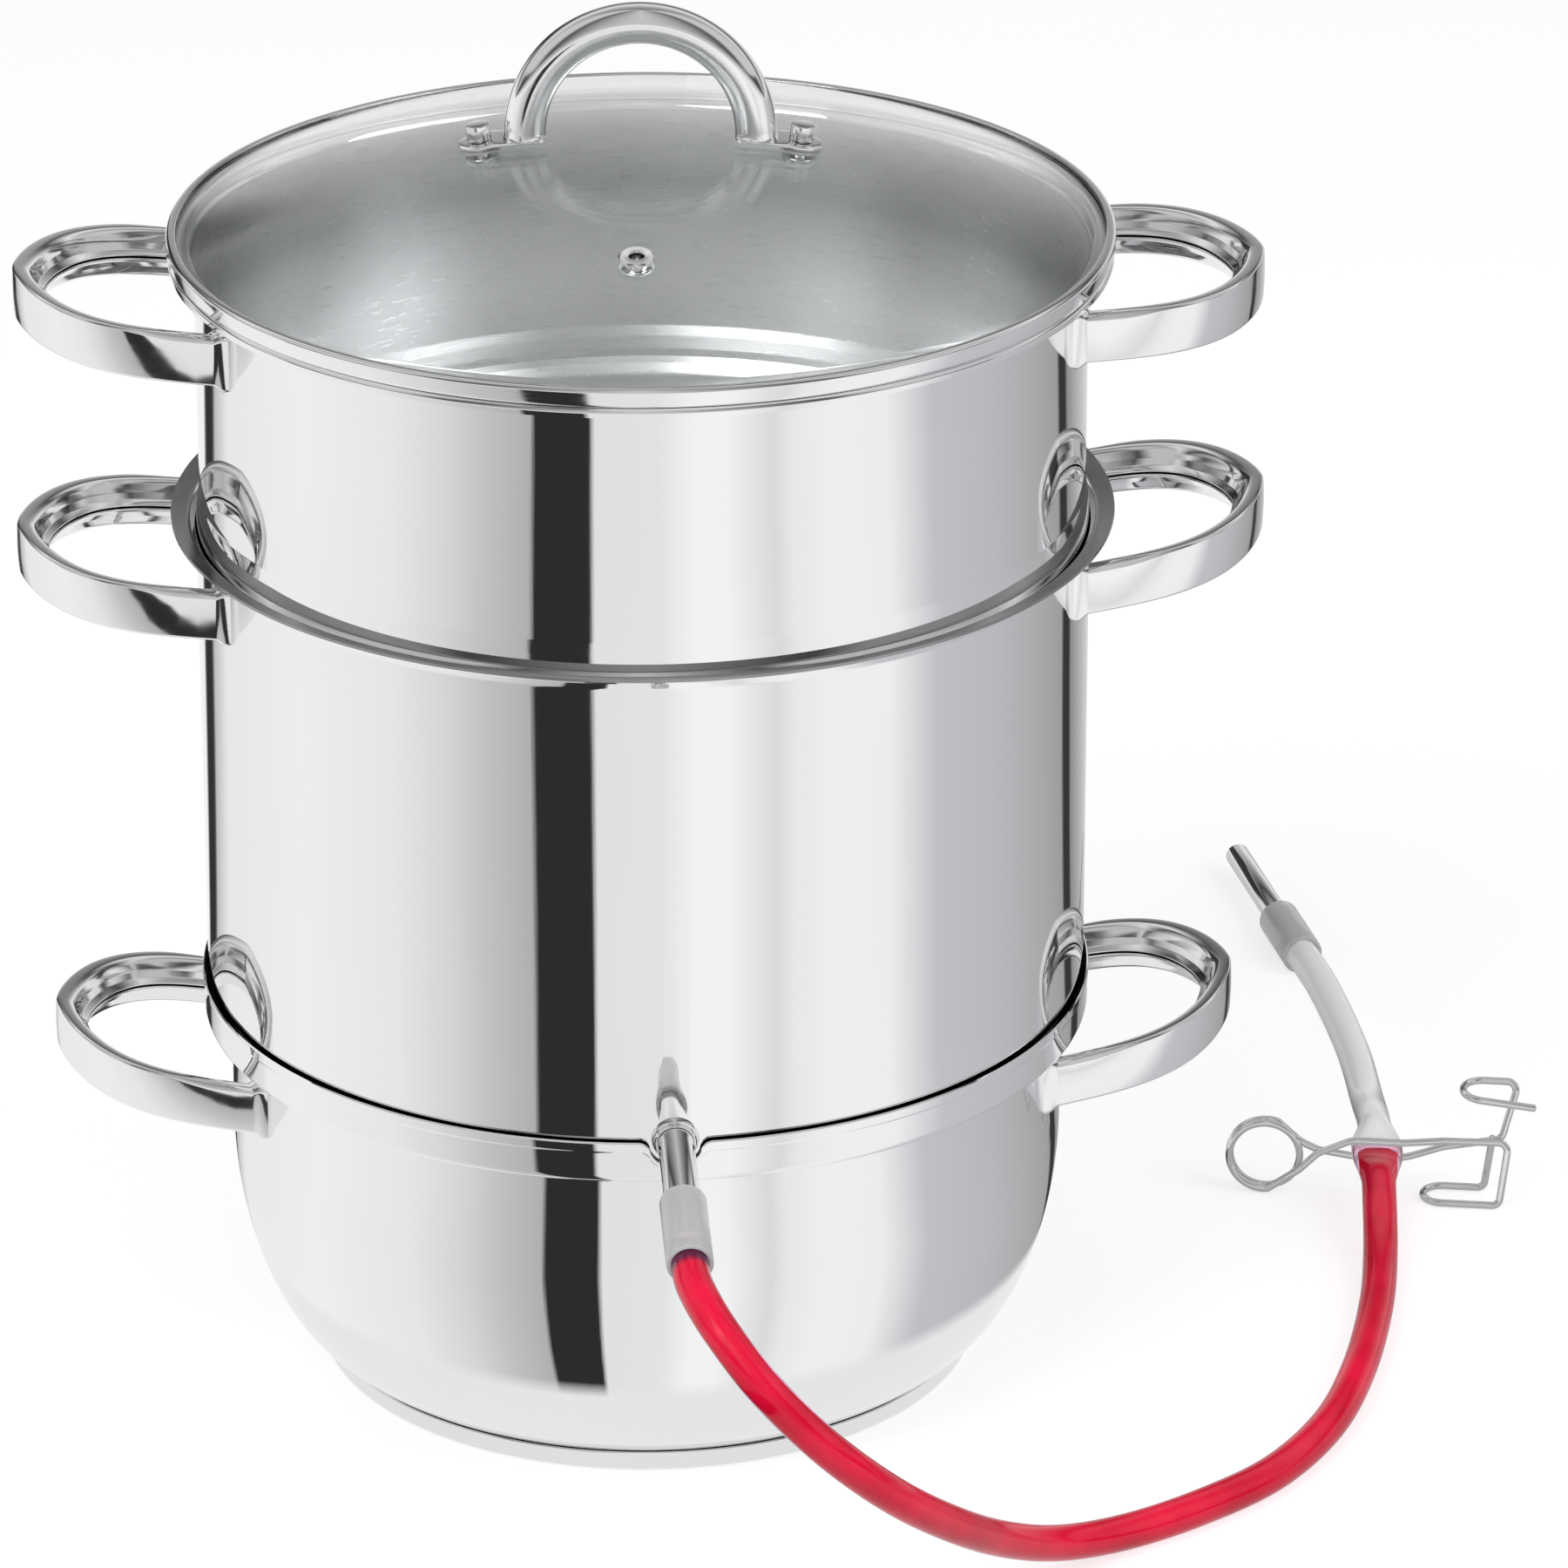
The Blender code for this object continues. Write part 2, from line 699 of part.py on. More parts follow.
def lid_ring(parent):
    """Steel channel rolled round the glass's brim."""
    outer = LID_RADIUS
    inner = LID_RADIUS - LID_RING_WALL
    low = LID_Z
    high = GLASS_BRIM_Z + CLEARANCE + LID_RING_WALL
    edge = LID_RING_EDGE
    wall = LID_RING_WALL
    outline = [
        (outer - LID_TOP_LIP, high),
        (outer - edge, high),
        (outer, high - edge),
        (outer, low + edge),
        (outer - edge, low),
        (outer - LID_LOWER_LIP, low),
        (outer - LID_LOWER_LIP, low + wall),
        (inner, low + wall),
        (inner, high - wall),
        (outer - LID_TOP_LIP, high - wall),
    ]
    return turned("lid_ring", outline, parent, STEEL, closed=True)


def plate_outline():
    """One foot tab of the lid handle: square at the arch, round at its free end."""
    half = TAB_WIDTH / 2
    return [
        (TAB_BITE, -half),
        *arc((TAB_REACH - half, 0.0), half, -math.pi / 2, math.pi / 2, 8),
        (TAB_BITE, half),
    ]


def lid_handle(parent):
    lift = WASHER_THICKNESS + 2 * CLEARANCE
    arch_z = dome_height(STUD_PLACE) + lift + TAB_THICKNESS / 2 + ARCH_TUBE / 2
    points = [
        (ARCH_RADIUS * math.cos(angle), 0.0, arch_z + ARCH_RADIUS * math.sin(angle))
        for angle in np.linspace(0.0, math.pi, ARCH_STEPS + 1)
    ]
    sunk = ARCH_TUBE / 2
    points = [(ARCH_RADIUS, 0.0, arch_z - sunk), *points, (-ARCH_RADIUS, 0.0, arch_z - sunk)]
    curve = poly_curve("lid_handle", points)
    curve.bevel_depth = ARCH_TUBE
    curve.bevel_resolution = ARCH_RESOLUTION
    curve.use_fill_caps = True
    arch = bpy.data.objects.new("lid_handle_path", curve)
    PARTS.objects.link(arch)
    mesh = meshed(arch)
    smooth(mesh)
    handle = part("lid_handle", mesh, parent, STEEL)
    for side, bearing in (("right", 0.0), ("left", math.pi)):
        seat = parent.matrix_world @ dome_frame(STUD_PLACE, bearing, lift + TAB_THICKNESS / 2)
        frame = seat @ Matrix.Translation((-STUD_PLACE, 0.0, 0.0))
        cut(handle, flat_cutter(f"tab_{side}", plate_outline(), TAB_THICKNESS / 2, frame), "UNION")
        bore = cylinder_cutter(
            f"tab_bore_{side}_cutter", STUD_SHANK + CLEARANCE, -OVERRUN, OVERRUN, seat, AROUND_TUBE
        )
        cut(handle, bore)
    return handle


def lid_fastenings(parent):
    """Washers between glass and tabs, and the studs that clamp the handle to the glass."""
    lift = WASHER_THICKNESS + 2 * CLEARANCE
    cap_low = lift + TAB_THICKNESS + CLEARANCE
    under = -GLASS_THICKNESS - CLEARANCE
    stud = [
        (0.0, cap_low + STUD_CAP_HEIGHT),
        (STUD_CAP_RADIUS - TUBE_EDGE, cap_low + STUD_CAP_HEIGHT),
        (STUD_CAP_RADIUS, cap_low + STUD_CAP_HEIGHT - TUBE_EDGE),
        (STUD_CAP_RADIUS, cap_low),
        (STUD_SHANK, cap_low),
        (STUD_SHANK, under),
        (STUD_HEAD_RADIUS, under),
        (STUD_HEAD_RADIUS - TUBE_EDGE, under - STUD_HEAD_HEIGHT),
        (0.0, under - STUD_HEAD_HEIGHT),
    ]
    bore = STUD_SHANK + CLEARANCE
    washer = [
        (WASHER_RADIUS, CLEARANCE + WASHER_THICKNESS),
        (WASHER_RADIUS, CLEARANCE),
        (bore, CLEARANCE),
        (bore, CLEARANCE + WASHER_THICKNESS),
    ]
    for side, bearing in (("left", math.pi), ("right", 0.0)):
        frame = dome_frame(STUD_PLACE, bearing, 0.0)
        item = turned(f"lid_stud_{side}", stud, parent, STEEL, steps=AROUND_TUBE)
        item.matrix_local = frame
        item = turned(
            f"lid_washer_{side}", washer, parent, SILICONE, closed=True, steps=AROUND_TUBE
        )
        item.matrix_local = frame


def vent_eyelet(parent):
    """Steel eyelet with a flange above and below the glass, and the steam hole through it."""
    above = CLEARANCE
    below = -GLASS_THICKNESS - CLEARANCE
    rim = VENT_FLANGE - VENT_FLANGE_HEIGHT / 2
    outline = [
        (VENT_BORE, above + VENT_FLANGE_HEIGHT),
        (rim, above + VENT_FLANGE_HEIGHT),
        (VENT_FLANGE, above),
        (VENT_TUBE, above),
        (VENT_TUBE, below),
        (VENT_FLANGE, below),
        (rim, below - VENT_FLANGE_HEIGHT),
        (VENT_BORE, below - VENT_FLANGE_HEIGHT),
    ]
    item = turned("vent_eyelet", outline, parent, STEEL, closed=True, steps=AROUND_TUBE)
    item.matrix_local = dome_frame(VENT_PLACE, -math.pi / 2, 0.0)
    return item


# Spout, sleeves and nozzle

def tube(name, parent, material, outer, inner, length, frame):
    """A straight tube along the frame's Z, from its origin."""
    edge = TUBE_EDGE
    outline = [
        (outer - edge, length),
        (outer, length - edge),
        (outer, edge),
        (outer - edge, 0.0),
        (inner, 0.0),
        (inner, length),
    ]
    item = turned(name, outline, parent, material, closed=True, steps=AROUND_TUBE)
    item.matrix_local = frame
    return item


def juice_spout(parent):
    frame = spout_frame(KETTLE_RADIUS) @ Matrix.Translation((0.0, 0.0, -SPOUT_INSIDE))
    inner = SPOUT_RADIUS - SPOUT_WALL
    length = SPOUT_INSIDE + SPOUT_LENGTH
    return tube("juice_spout", parent, STEEL, SPOUT_RADIUS, inner, length, frame)


def spout_collar(parent):
    """Stepped weld ring round the spout, hollowed to the kettle's wall."""
    inner = SPOUT_RADIUS + CLEARANCE
    step = COLLAR_STEP
    outline = [
        (inner, COLLAR_THICKNESS + step),
        (inner + step, COLLAR_THICKNESS + step),
        (COLLAR_RADIUS - step / 2, COLLAR_THICKNESS),
        (COLLAR_RADIUS, COLLAR_THICKNESS - step),
        (COLLAR_RADIUS, -OVERRUN),
        (inner, -OVERRUN),
    ]
    collar = turned("spout_collar", outline, parent, STEEL, closed=True, steps=AROUND_TUBE)
    collar.matrix_local = spout_frame(KETTLE_RADIUS)
    wall = cylinder_cutter(
        "collar_seat_cutter", KETTLE_RADIUS + CLEARANCE,
        SHOULDER_Z, POT_HEIGHT + 2 * COLLAR_DEPTH,
    )
    cut(collar, wall)
    return collar


def spout_sleeve(parent):
    """Soft sleeve that joins the spout's end to the hose's end."""
    start = SPOUT_LENGTH - (SLEEVE_LENGTH - SLEEVE_OVER_HOSE)
    frame = spout_frame(KETTLE_RADIUS) @ Matrix.Translation((0.0, 0.0, start))
    inner = HOSE_RADIUS + CLEARANCE
    return tube("spout_sleeve", parent, SLEEVE, SLEEVE_RADIUS, inner, SLEEVE_LENGTH, frame)


def end_frame(route):
    """Frame at the hose's far end, Z along the hose."""
    dense, along = route
    last = dense[-1]
    run = last - on_route(route, [along[-1] - SLEEVE_OVER_HOSE])[0]
    run.z = 0.0
    return Matrix.Translation(last) @ run.to_track_quat("Z", "Y").to_matrix().to_4x4()


def nozzle_and_sleeve(parent, route):
    """Filling nozzle held in a stepped sleeve that grips the hose's far end."""
    frame = end_frame(route)
    edge = TUBE_EDGE
    over_hose = HOSE_RADIUS + CLEARANCE
    over_nozzle = NOZZLE_RADIUS + CLEARANCE
    start = -SLEEVE_OVER_HOSE
    end = SLEEVE_LENGTH - SLEEVE_OVER_HOSE
    step = CLEARANCE
    outline = [
        (SLEEVE_RADIUS - edge, end),
        (SLEEVE_RADIUS, end - edge),
        (SLEEVE_RADIUS, start + edge),
        (SLEEVE_RADIUS - edge, start),
        (over_hose, start),
        (over_hose, step),
        (over_nozzle, step),
        (over_nozzle, end),
    ]
    sleeve = turned("nozzle_sleeve", outline, parent, SLEEVE, closed=True, steps=AROUND_TUBE)
    sleeve.matrix_local = frame
    nozzle_frame = frame @ Matrix.Translation((0.0, 0.0, end - NOZZLE_IN_SLEEVE))
    tube(
        "filling_nozzle", parent, STEEL, NOZZLE_RADIUS, NOZZLE_RADIUS - NOZZLE_WALL,
        NOZZLE_LENGTH, nozzle_frame,
    )


# Hose

def hose_stretch(name, parent, material, route, start, end):
    """A free stretch of hose, its first and last points close enough to meet square."""
    lead = SLEEVE_OVER_HOSE
    count = round((end - start - 2 * lead) / HOSE_STEP)
    places = [start, *np.linspace(start + lead, end - lead, count + 1), end]
    curve = poly_curve(name, on_route(route, places))
    curve.bevel_depth = HOSE_RADIUS
    curve.bevel_resolution = HOSE_RESOLUTION
    curve.use_fill_caps = True
    return part(name, curve, parent, material)


def pinch_station(route):
    """Length along the route of its point nearest to the clamp's jaws."""
    dense, along = route
    jaws = Vector(PINCH_PLACE)
    nearest = min(range(len(dense)), key=lambda index: (dense[index] - jaws).length)
    return float(along[nearest])


def pinched_hose(name, parent, material, route, start, end):
    """The hose where the jaws squeeze it: a loft from round to a flat oval and back."""
    half_flat = HOSE_WALL
    middle = (start + end) / 2
    places = np.linspace(start, end, PINCH_RINGS)
    points = on_route(route, places)
    shape = bmesh.new()
    rings = []
    for place, centre, before, after in zip(
        places, points, [points[0], *points[:-1]], [*points[1:], points[-1]]
    ):
        run = (after - before).normalized()
        across = Vector((run.y, -run.x, 0.0)).normalized()
        above = across.cross(run)
        away = max(0.0, abs(place - middle) - PINCH_FLAT / 2)
        share = min(1.0, away / ((end - start - PINCH_FLAT) / 2))
        blend = share * share * (3.0 - 2.0 * share)
        wide = PINCH_HALF_WIDTH + (HOSE_RADIUS - PINCH_HALF_WIDTH) * blend
        tall = half_flat + (HOSE_RADIUS - half_flat) * blend
        ring = []
        for step in range(PINCH_SIDES):
            angle = math.tau * step / PINCH_SIDES
            x = wide * math.cos(angle)
            y = tall * math.sin(angle)
            ring.append(shape.verts.new(centre + across * x + above * y))
        rings.append(ring)
    for first, second in zip(rings, rings[1:]):
        for step in range(PINCH_SIDES):
            after = (step + 1) % PINCH_SIDES
            shape.faces.new((first[step], first[after], second[after], second[step]))
    shape.faces.new(reversed(rings[0]))
    shape.faces.new(rings[-1])
    bmesh.ops.recalc_face_normals(shape, faces=shape.faces)
    mesh = bpy.data.meshes.new(name)
    shape.to_mesh(mesh)
    shape.free()
    smooth(mesh)
    return part(name, mesh, parent, material)


# Wire pinch clamp

def clamp_frame():
    """Clamp's own frame: X from the coil to the jaws, Z up, origin on the floor at the coil."""
    jaws = Vector(PINCH_PLACE)
    turn = Matrix.Rotation(CLAMP_TURN, 4, "Z")
    along = turn @ Vector((COIL_TO_JAW, 0.0, 0.0))
    floor = Vector((jaws.x - along.x, jaws.y - along.y, 0.0))
    return Matrix.Translation(floor) @ turn


def rounded_wire(points, bend):
    """The wire's corners cut to short bends of three points."""
    given = [Vector(point) for point in points]
    wire = [given[0]]
    for before, corner, after in zip(given, given[1:], given[2:]):
        back = before - corner
        ahead = after - corner
        reach = min(bend, back.length / 2, ahead.length / 2)
        first = corner + back.normalized() * reach
        last = corner + ahead.normalized() * reach
        wire += [first, (first + last + 2 * corner) / 4, last]
    wire.append(given[-1])
    return wire


def coil_points():
    """One and a half turns, from the foot of the coil clockwise to its top."""
    middle = WIRE_RADIUS + COIL_RADIUS
    half = COIL_TURNS * COIL_PITCH / 2
    count = round(COIL_POINTS * COIL_TURNS)
    points = []
    shares = [*np.linspace(0.0, 1.0, count + 1)]
    shares.insert(-1, COIL_END_SHARE)
    for share in shares:
        angle = -math.pi / 2 - math.tau * COIL_TURNS * share
        points.append(Vector((
            COIL_RADIUS * math.cos(angle), -half + 2 * half * share,
            middle + COIL_RADIUS * math.sin(angle),
        )))
    return points


def least_gap(points, apart):
    """Least gap between stretches of a wire that are not neighbours, from points along it."""
    fine = []
    for start, end in zip(points, points[1:]):
        count = max(1, math.ceil((end - start).length / WIRE_RADIUS))
        fine += [start.lerp(end, step / count) for step in range(count)]
    along = [0.0]
    for start, end in zip(fine, fine[1:]):
        along.append(along[-1] + (end - start).length)
    nearest = min(
        (a - b).length
        for i, a in enumerate(fine) for j, b in enumerate(fine) if along[j] - along[i] > apart
    )
    return nearest - 2 * WIRE_RADIUS


def arm_points(level, plane):
    """Arm from beside the coil, past the jaws, to the crossing by the finger loops."""
    jaw_z = PINCH_PLACE[2]
    away = level * (HOSE_WALL + CLEARANCE + WIRE_RADIUS)
    middle = WIRE_RADIUS + COIL_RADIUS
    beside = math.copysign(COIL_TURNS * COIL_PITCH / 2 + ARM_SPREAD, plane)
    past = COIL_TO_JAW + (CLAMP_REACH - COIL_TO_JAW) * PAST_JAWS_SHARE
    return [
        (COIL_RADIUS, beside, middle - level * COIL_RADIUS * COIL_EXIT_SHARE),
        (CLAMP_CROSSING, plane, (jaw_z + middle) / 2),
        (COIL_TO_JAW - PINCH_HALF_WIDTH, plane, jaw_z + away),
        (COIL_TO_JAW + PINCH_HALF_WIDTH, plane, jaw_z + away),
        (past, plane, jaw_z + ARM_RISE * PAST_RISE_SHARE + away * PAST_AWAY_SHARE),
    ]


def clamp_wire(name, points, parent):
    curve = poly_curve(name, points)
    curve.bevel_depth = WIRE_RADIUS
    curve.bevel_resolution = WIRE_RESOLUTION
    curve.use_fill_caps = True
    return part(name, curve, parent, STEEL)


def clamp_fixed_arm(parent):
    """Coil, upper jaw and lower finger loop, on which the clamp stands."""
    coil = coil_points()
    corner_z = PINCH_PLACE[2] + ARM_RISE
    near = -LOOP_DEPTH / 2
    far = LOOP_DEPTH / 2
    end = CLAMP_REACH
    low = WIRE_RADIUS
    tip_z = corner_z + 3 * WIRE_RADIUS
    run_end = end - LOOP_LENGTH
    nose = (run_end - LOOP_DEPTH * LOOP_NOSE_SHARE, 0.0, low)
    arm = [
        coil[0] + Vector((WIRE_RADIUS, 0.0, 0.0)),
        *arm_points(1.0, -JAW_OFFSET),
        (end, -JAW_OFFSET, corner_z),
        (end - 2 * WIRE_RADIUS, near, low),
        (run_end, near, low),
        nose,
        (run_end, far, low),
        (end - LOOP_DEPTH * LOOP_RETURN_SHARE, far, low),
        (end - LOOP_DEPTH * LOOP_RETURN_SHARE + 2 * WIRE_RADIUS, far - WIRE_RADIUS, tip_z),
    ]
    wire = [*reversed(coil), *rounded_wire(arm, WIRE_BEND)[1:]]
    gap = least_gap(wire, math.pi * COIL_RADIUS)
    print("least gap of the coiled wire to itself, mm:", round(gap * 1000, 3))
    return clamp_wire("clamp_fixed_arm", wire, parent)


def clamp_swing_arm(parent, frame):
    """Lower jaw and upper finger loop; squeezing the loops together swings it down."""
    middle = WIRE_RADIUS + COIL_RADIUS
    top = middle + COIL_RADIUS
    plane = COIL_TURNS * COIL_PITCH / 2
    corner_z = PINCH_PLACE[2] + ARM_RISE
    near = -LOOP_DEPTH / 2
    far = LOOP_DEPTH / 2 + WIRE_RADIUS
    end = CLAMP_REACH
    high = UPPER_LOOP_HEIGHT
    run_end = end - LOOP_LENGTH / 2
    points = [
        *((gap, plane, middle + math.sqrt(COIL_RADIUS ** 2 - gap ** 2))
          for gap in (CLEARANCE, 3 * CLEARANCE, COIL_RADIUS * COIL_EXIT_SHARE)),
        *arm_points(-1.0, JAW_OFFSET),
        (end - 2 * WIRE_RADIUS, JAW_OFFSET, corner_z),
        (end + 2 * WIRE_RADIUS, far, high),
        (run_end, far, high),
        (run_end - LOOP_DEPTH * LOOP_NOSE_SHARE, 0.0, high),
        (run_end, near, high),
        (end + LOOP_LENGTH / 3, near, high - 2 * WIRE_RADIUS),
    ]
    hinge = Vector((0.0, 0.0, middle))
    wire = [Vector(point) - hinge for point in rounded_wire(points, WIRE_BEND)]
    axle = empty("clamp_swing", parent)
    axle.matrix_local = frame @ Matrix.Translation(hinge)
    return clamp_wire("clamp_swing_arm", wire, axle)


def build():
    pot = empty("pot_body")
    kettle = empty("kettle_body", pot)
    basket = empty("basket_body", kettle)
    lid = empty("lid_body", basket)
    lid.rotation_euler.z = LID_TURN
    bpy.context.view_layer.update()

    water_pot(pot)
    pot_base(pot)
    juice_kettle(kettle)
    steam_chimney(kettle)
    juice_spout(kettle)
    spout_collar(kettle)
    spout_sleeve(kettle)
    fruit_basket(basket)

    levels = (
        ("pot", pot, POT_RADIUS, POT_HANDLE_Z),
        ("kettle", kettle, KETTLE_RADIUS, KETTLE_RIM_Z - KETTLE_HANDLE_DROP),
        ("basket", basket, BASKET_RADIUS, BASKET_RIM_Z - BASKET_HANDLE_DROP),
    )
    for name, parent, radius, height in levels:
        side_handle(f"{name}_handle_left", parent, radius, height, -1.0)
        side_handle(f"{name}_handle_right", parent, radius, height, 1.0)

    lid_glass(lid)
    lid_ring(lid)
    lid_handle(lid)
    lid_fastenings(lid)
    vent_eyelet(lid)

    route = smooth_route(HOSE_ROUTE)
    total = float(route[1][-1])
    pinch = pinch_station(route)
    before = pinch - PINCH_LENGTH / 2
    after = pinch + PINCH_LENGTH / 2
    hose_stretch("hose_from_spout", kettle, JUICE_HOSE, route, 0.0, before - CLEARANCE)
    pinched_hose("hose_pinched_part", kettle, JUICE_HOSE, route, before, after)
    hose_stretch("hose_to_nozzle", kettle, SILICONE, route, after + CLEARANCE, total)
    nozzle_and_sleeve(kettle, route)
    print("hose length, mm:", round(total * 1000, 1))

    frame = clamp_frame()
    clamp_holder = empty("clamp_holder", kettle)
    clamp_holder.matrix_local = frame
    clamp_fixed_arm(clamp_holder)
    clamp_swing_arm(kettle, frame)


clear_scene()
PARTS = collection("steam_juicer")
CUTTERS = collection("cutters")
STEEL = principled("polished_steel", (0.80, 0.80, 0.81), 0.10, 1.0)
CAPSULE = principled("capsule_base", (0.80, 0.80, 0.81), 0.30, 1.0)
GLASS = principled("glass", (0.86, 0.90, 0.90), 0.02, 0.0)
SILICONE = principled("clear_silicone", (0.86, 0.86, 0.86), 0.35, 0.0)
SLEEVE = principled("frosted_sleeve", (0.62, 0.62, 0.63), 0.45, 0.0)
JUICE_HOSE = principled("juice_hose", (0.70, 0.02, 0.08), 0.25, 0.0)
HANDLE_SECTION = handle_section()
build()
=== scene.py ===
"""Steam juicer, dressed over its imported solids: water pot, juice kettle, fruit basket, glass lid,
juice hose with its sleeves and nozzle, and the wire pinch clamp.

Metres, +Z up, the vessels' axis on Z, the spout along -Y.
"""

import math

import bmesh
import bpy
import numpy as np
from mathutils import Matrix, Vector


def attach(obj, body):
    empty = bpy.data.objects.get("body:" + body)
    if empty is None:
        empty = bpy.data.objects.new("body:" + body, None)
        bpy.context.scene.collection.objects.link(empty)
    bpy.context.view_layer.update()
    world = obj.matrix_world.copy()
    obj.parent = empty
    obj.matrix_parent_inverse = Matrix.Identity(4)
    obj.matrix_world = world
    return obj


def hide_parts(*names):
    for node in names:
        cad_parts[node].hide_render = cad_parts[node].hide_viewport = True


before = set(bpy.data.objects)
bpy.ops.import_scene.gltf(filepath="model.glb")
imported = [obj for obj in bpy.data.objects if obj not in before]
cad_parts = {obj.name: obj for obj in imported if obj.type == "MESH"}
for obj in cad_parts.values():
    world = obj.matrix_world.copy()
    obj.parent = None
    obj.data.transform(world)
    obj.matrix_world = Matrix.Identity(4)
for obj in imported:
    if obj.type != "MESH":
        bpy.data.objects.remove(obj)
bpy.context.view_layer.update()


# Capsule base. A shallow cup of steel, pressed hot over an aluminium disc and against the pot's
# underside, so that the pot stands flat and spreads the hob's heat. Its side is polished, and its
# sole is finely turned.
BASE_RADIUS = 0.0985
BASE_TOP = 0.0067
BASE_SIDES = 192
SHARP_EDGE = 38.0


def corner_arc(before, corner, after, bend, steps):
    """The arc of radius bend that is tangent to both legs of a corner: points between the two
    tangent points, turned evenly about the arc's centre. It takes less than half of each leg, and
    a corner that is all but straight stays one point."""
    back, ahead = before - corner, after - corner
    lengths = np.linalg.norm(back), np.linalg.norm(ahead)
    back, ahead = back / lengths[0], ahead / lengths[1]
    half = math.acos(np.clip(back @ ahead, -1.0, 1.0)) / 2
    if not bend or half > math.radians(89.0):
        return corner[None]
    reach = min(bend / math.tan(half), 0.49 * lengths[0], 0.49 * lengths[1])
    middle = back + ahead
    centre = corner + middle / np.linalg.norm(middle) * reach / math.cos(half)
    first, last = corner + back * reach - centre, corner + ahead * reach - centre
    sweep = math.pi - 2 * half
    share = np.linspace(0.0, 1.0, steps + 1)[:, None]
    return centre + (np.sin((1 - share) * sweep) * first + np.sin(share * sweep) * last) / math.sin(sweep)


def rounded(corners, steps=6, closed=False):
    """A line through corners whose last number is the bend radius there: an arc at each corner."""
    corners = np.array(corners, float)
    points, bends = corners[:, :-1], corners[:, -1]
    count = len(points)
    inner = range(count) if closed else range(1, count - 1)
    arcs = [
        corner_arc(points[i - 1], points[i], points[(i + 1) % count], bends[i], steps) for i in inner
    ]
    return np.vstack(arcs if closed else [points[:1], *arcs, points[-1:]])


def welded(mesh, sharp=SHARP_EDGE):
    """Doubles merged, loose points dropped, faces turned outwards, and smooth but for the edges
    where two faces meet at more degrees than sharp."""
    shape = bmesh.new()
    shape.from_mesh(mesh)
    bmesh.ops.remove_doubles(shape, verts=shape.verts, dist=1e-6)
    bmesh.ops.delete(shape, geom=[v for v in shape.verts if not v.link_faces], context="VERTS")
    if shape.calc_volume(signed=True) < 0:
        bmesh.ops.reverse_faces(shape, faces=shape.faces)
    shape.to_mesh(mesh)
    shape.free()
    mesh.shade_smooth()
    mesh.set_sharp_from_angle(angle=math.radians(sharp))
    return mesh


def surface(name, points, closed=False, sharp=SHARP_EDGE):
    """Quads over a grid of points, rows by columns, whose last column joins the first. Closed
    joins the last row to the first too. Quads of no area, as at a pole, are left out."""
    rows, columns = points.shape[:2]
    index = np.arange(rows * columns).reshape(rows, columns)
    index = np.hstack([index, index[:, :1]])
    if closed:
        index = np.vstack([index, index[:1]])
    quads = np.stack([index[:-1, :-1], index[:-1, 1:], index[1:, 1:], index[1:, :-1]], -1).reshape(-1, 4)
    flat = points.reshape(-1, 3)
    corners = flat[quads]
    area = np.linalg.norm(np.cross(corners[:, 2] - corners[:, 0], corners[:, 3] - corners[:, 1]), axis=1)
    mesh = bpy.data.meshes.new(name)
    mesh.from_pydata(flat.tolist(), [], quads[area > 1e-13].tolist())
    return welded(mesh, sharp)


def placed(points, place):
    """Points of any grid moved by a frame, a 4 by 4 matrix."""
    return points @ place[:3, :3].T + place[:3, 3]


def ring_grid(profile, angles):
    """A profile of (radius, height) turned about Z: x = r cos a, y = r sin a at each angle a."""
    radius, height = profile.T[:, :, None]
    return np.stack(np.broadcast_arrays(radius * np.cos(angles), radius * np.sin(angles), height), -1)


def round_angles(sides):
    """Even steps all the way round, in radians."""
    return np.linspace(0.0, 2 * math.pi, sides, endpoint=False)


def turned(name, profile, sides=BASE_SIDES, place=np.eye(4)):
    """A closed profile turned all the way round Z, and then moved by a frame."""
    return surface(name, placed(ring_grid(profile, round_angles(sides)), place), closed=True)


def node(tree, kind, inputs={}, **settings):
    """A shader node with its settings. Each input, by name or number, is given a value of its own
    or another node's output, and a colour is given as red, green and blue."""
    made = tree.nodes.new(kind)
    for key, value in settings.items():
        setattr(made, key, value)
    for key, value in inputs.items():
        socket = made.inputs[key]
        if isinstance(value, bpy.types.NodeSocket):
            tree.links.new(value, socket)
        else:
            socket.default_value = (*value, 1.0) if socket.type == "RGBA" else value
    return made


def new_material(name):
    """An empty material, its node tree, its Object coordinates, and the socket for its finish."""
    material = bpy.data.materials.new(name)
    material.use_nodes = True
    tree = material.node_tree
    tree.nodes.clear()
    out = tree.nodes.new("ShaderNodeOutputMaterial")
    return material, tree, node(tree, "ShaderNodeTexCoord").outputs["Object"], out.inputs[0]


def mottle(tree, where, scale, detail, roughness):
    """Soft noise over a surface, from 0 to 1."""
    values = {"Vector": where, "Scale": scale, "Detail": detail, "Roughness": roughness}
    return node(tree, "ShaderNodeTexNoise", values).outputs[0]


def ranged(tree, value, given, wanted):
    """A value carried from one range over to another, and held at its ends."""
    ends = {"From Min": given[0], "From Max": given[1], "To Min": wanted[0], "To Max": wanted[1]}
    return node(tree, "ShaderNodeMapRange", {"Value": value, **ends}).outputs[0]


def colour_between(tree, share, first, second, **settings):
    """Two colours mixed by a share, from the first at 0 to the second at 1."""
    values = {"Factor": share, "A": first, "B": second}
    return node(tree, "ShaderNodeMix", values, data_type="RGBA", **settings).outputs["Result"]


def bump(tree, height, depth):
    """Small hills by a height from 0 to 1, that deep in metres."""
    values = {"Height": height, "Strength": 1.0, "Distance": depth}
    return node(tree, "ShaderNodeBump", values).outputs[0]


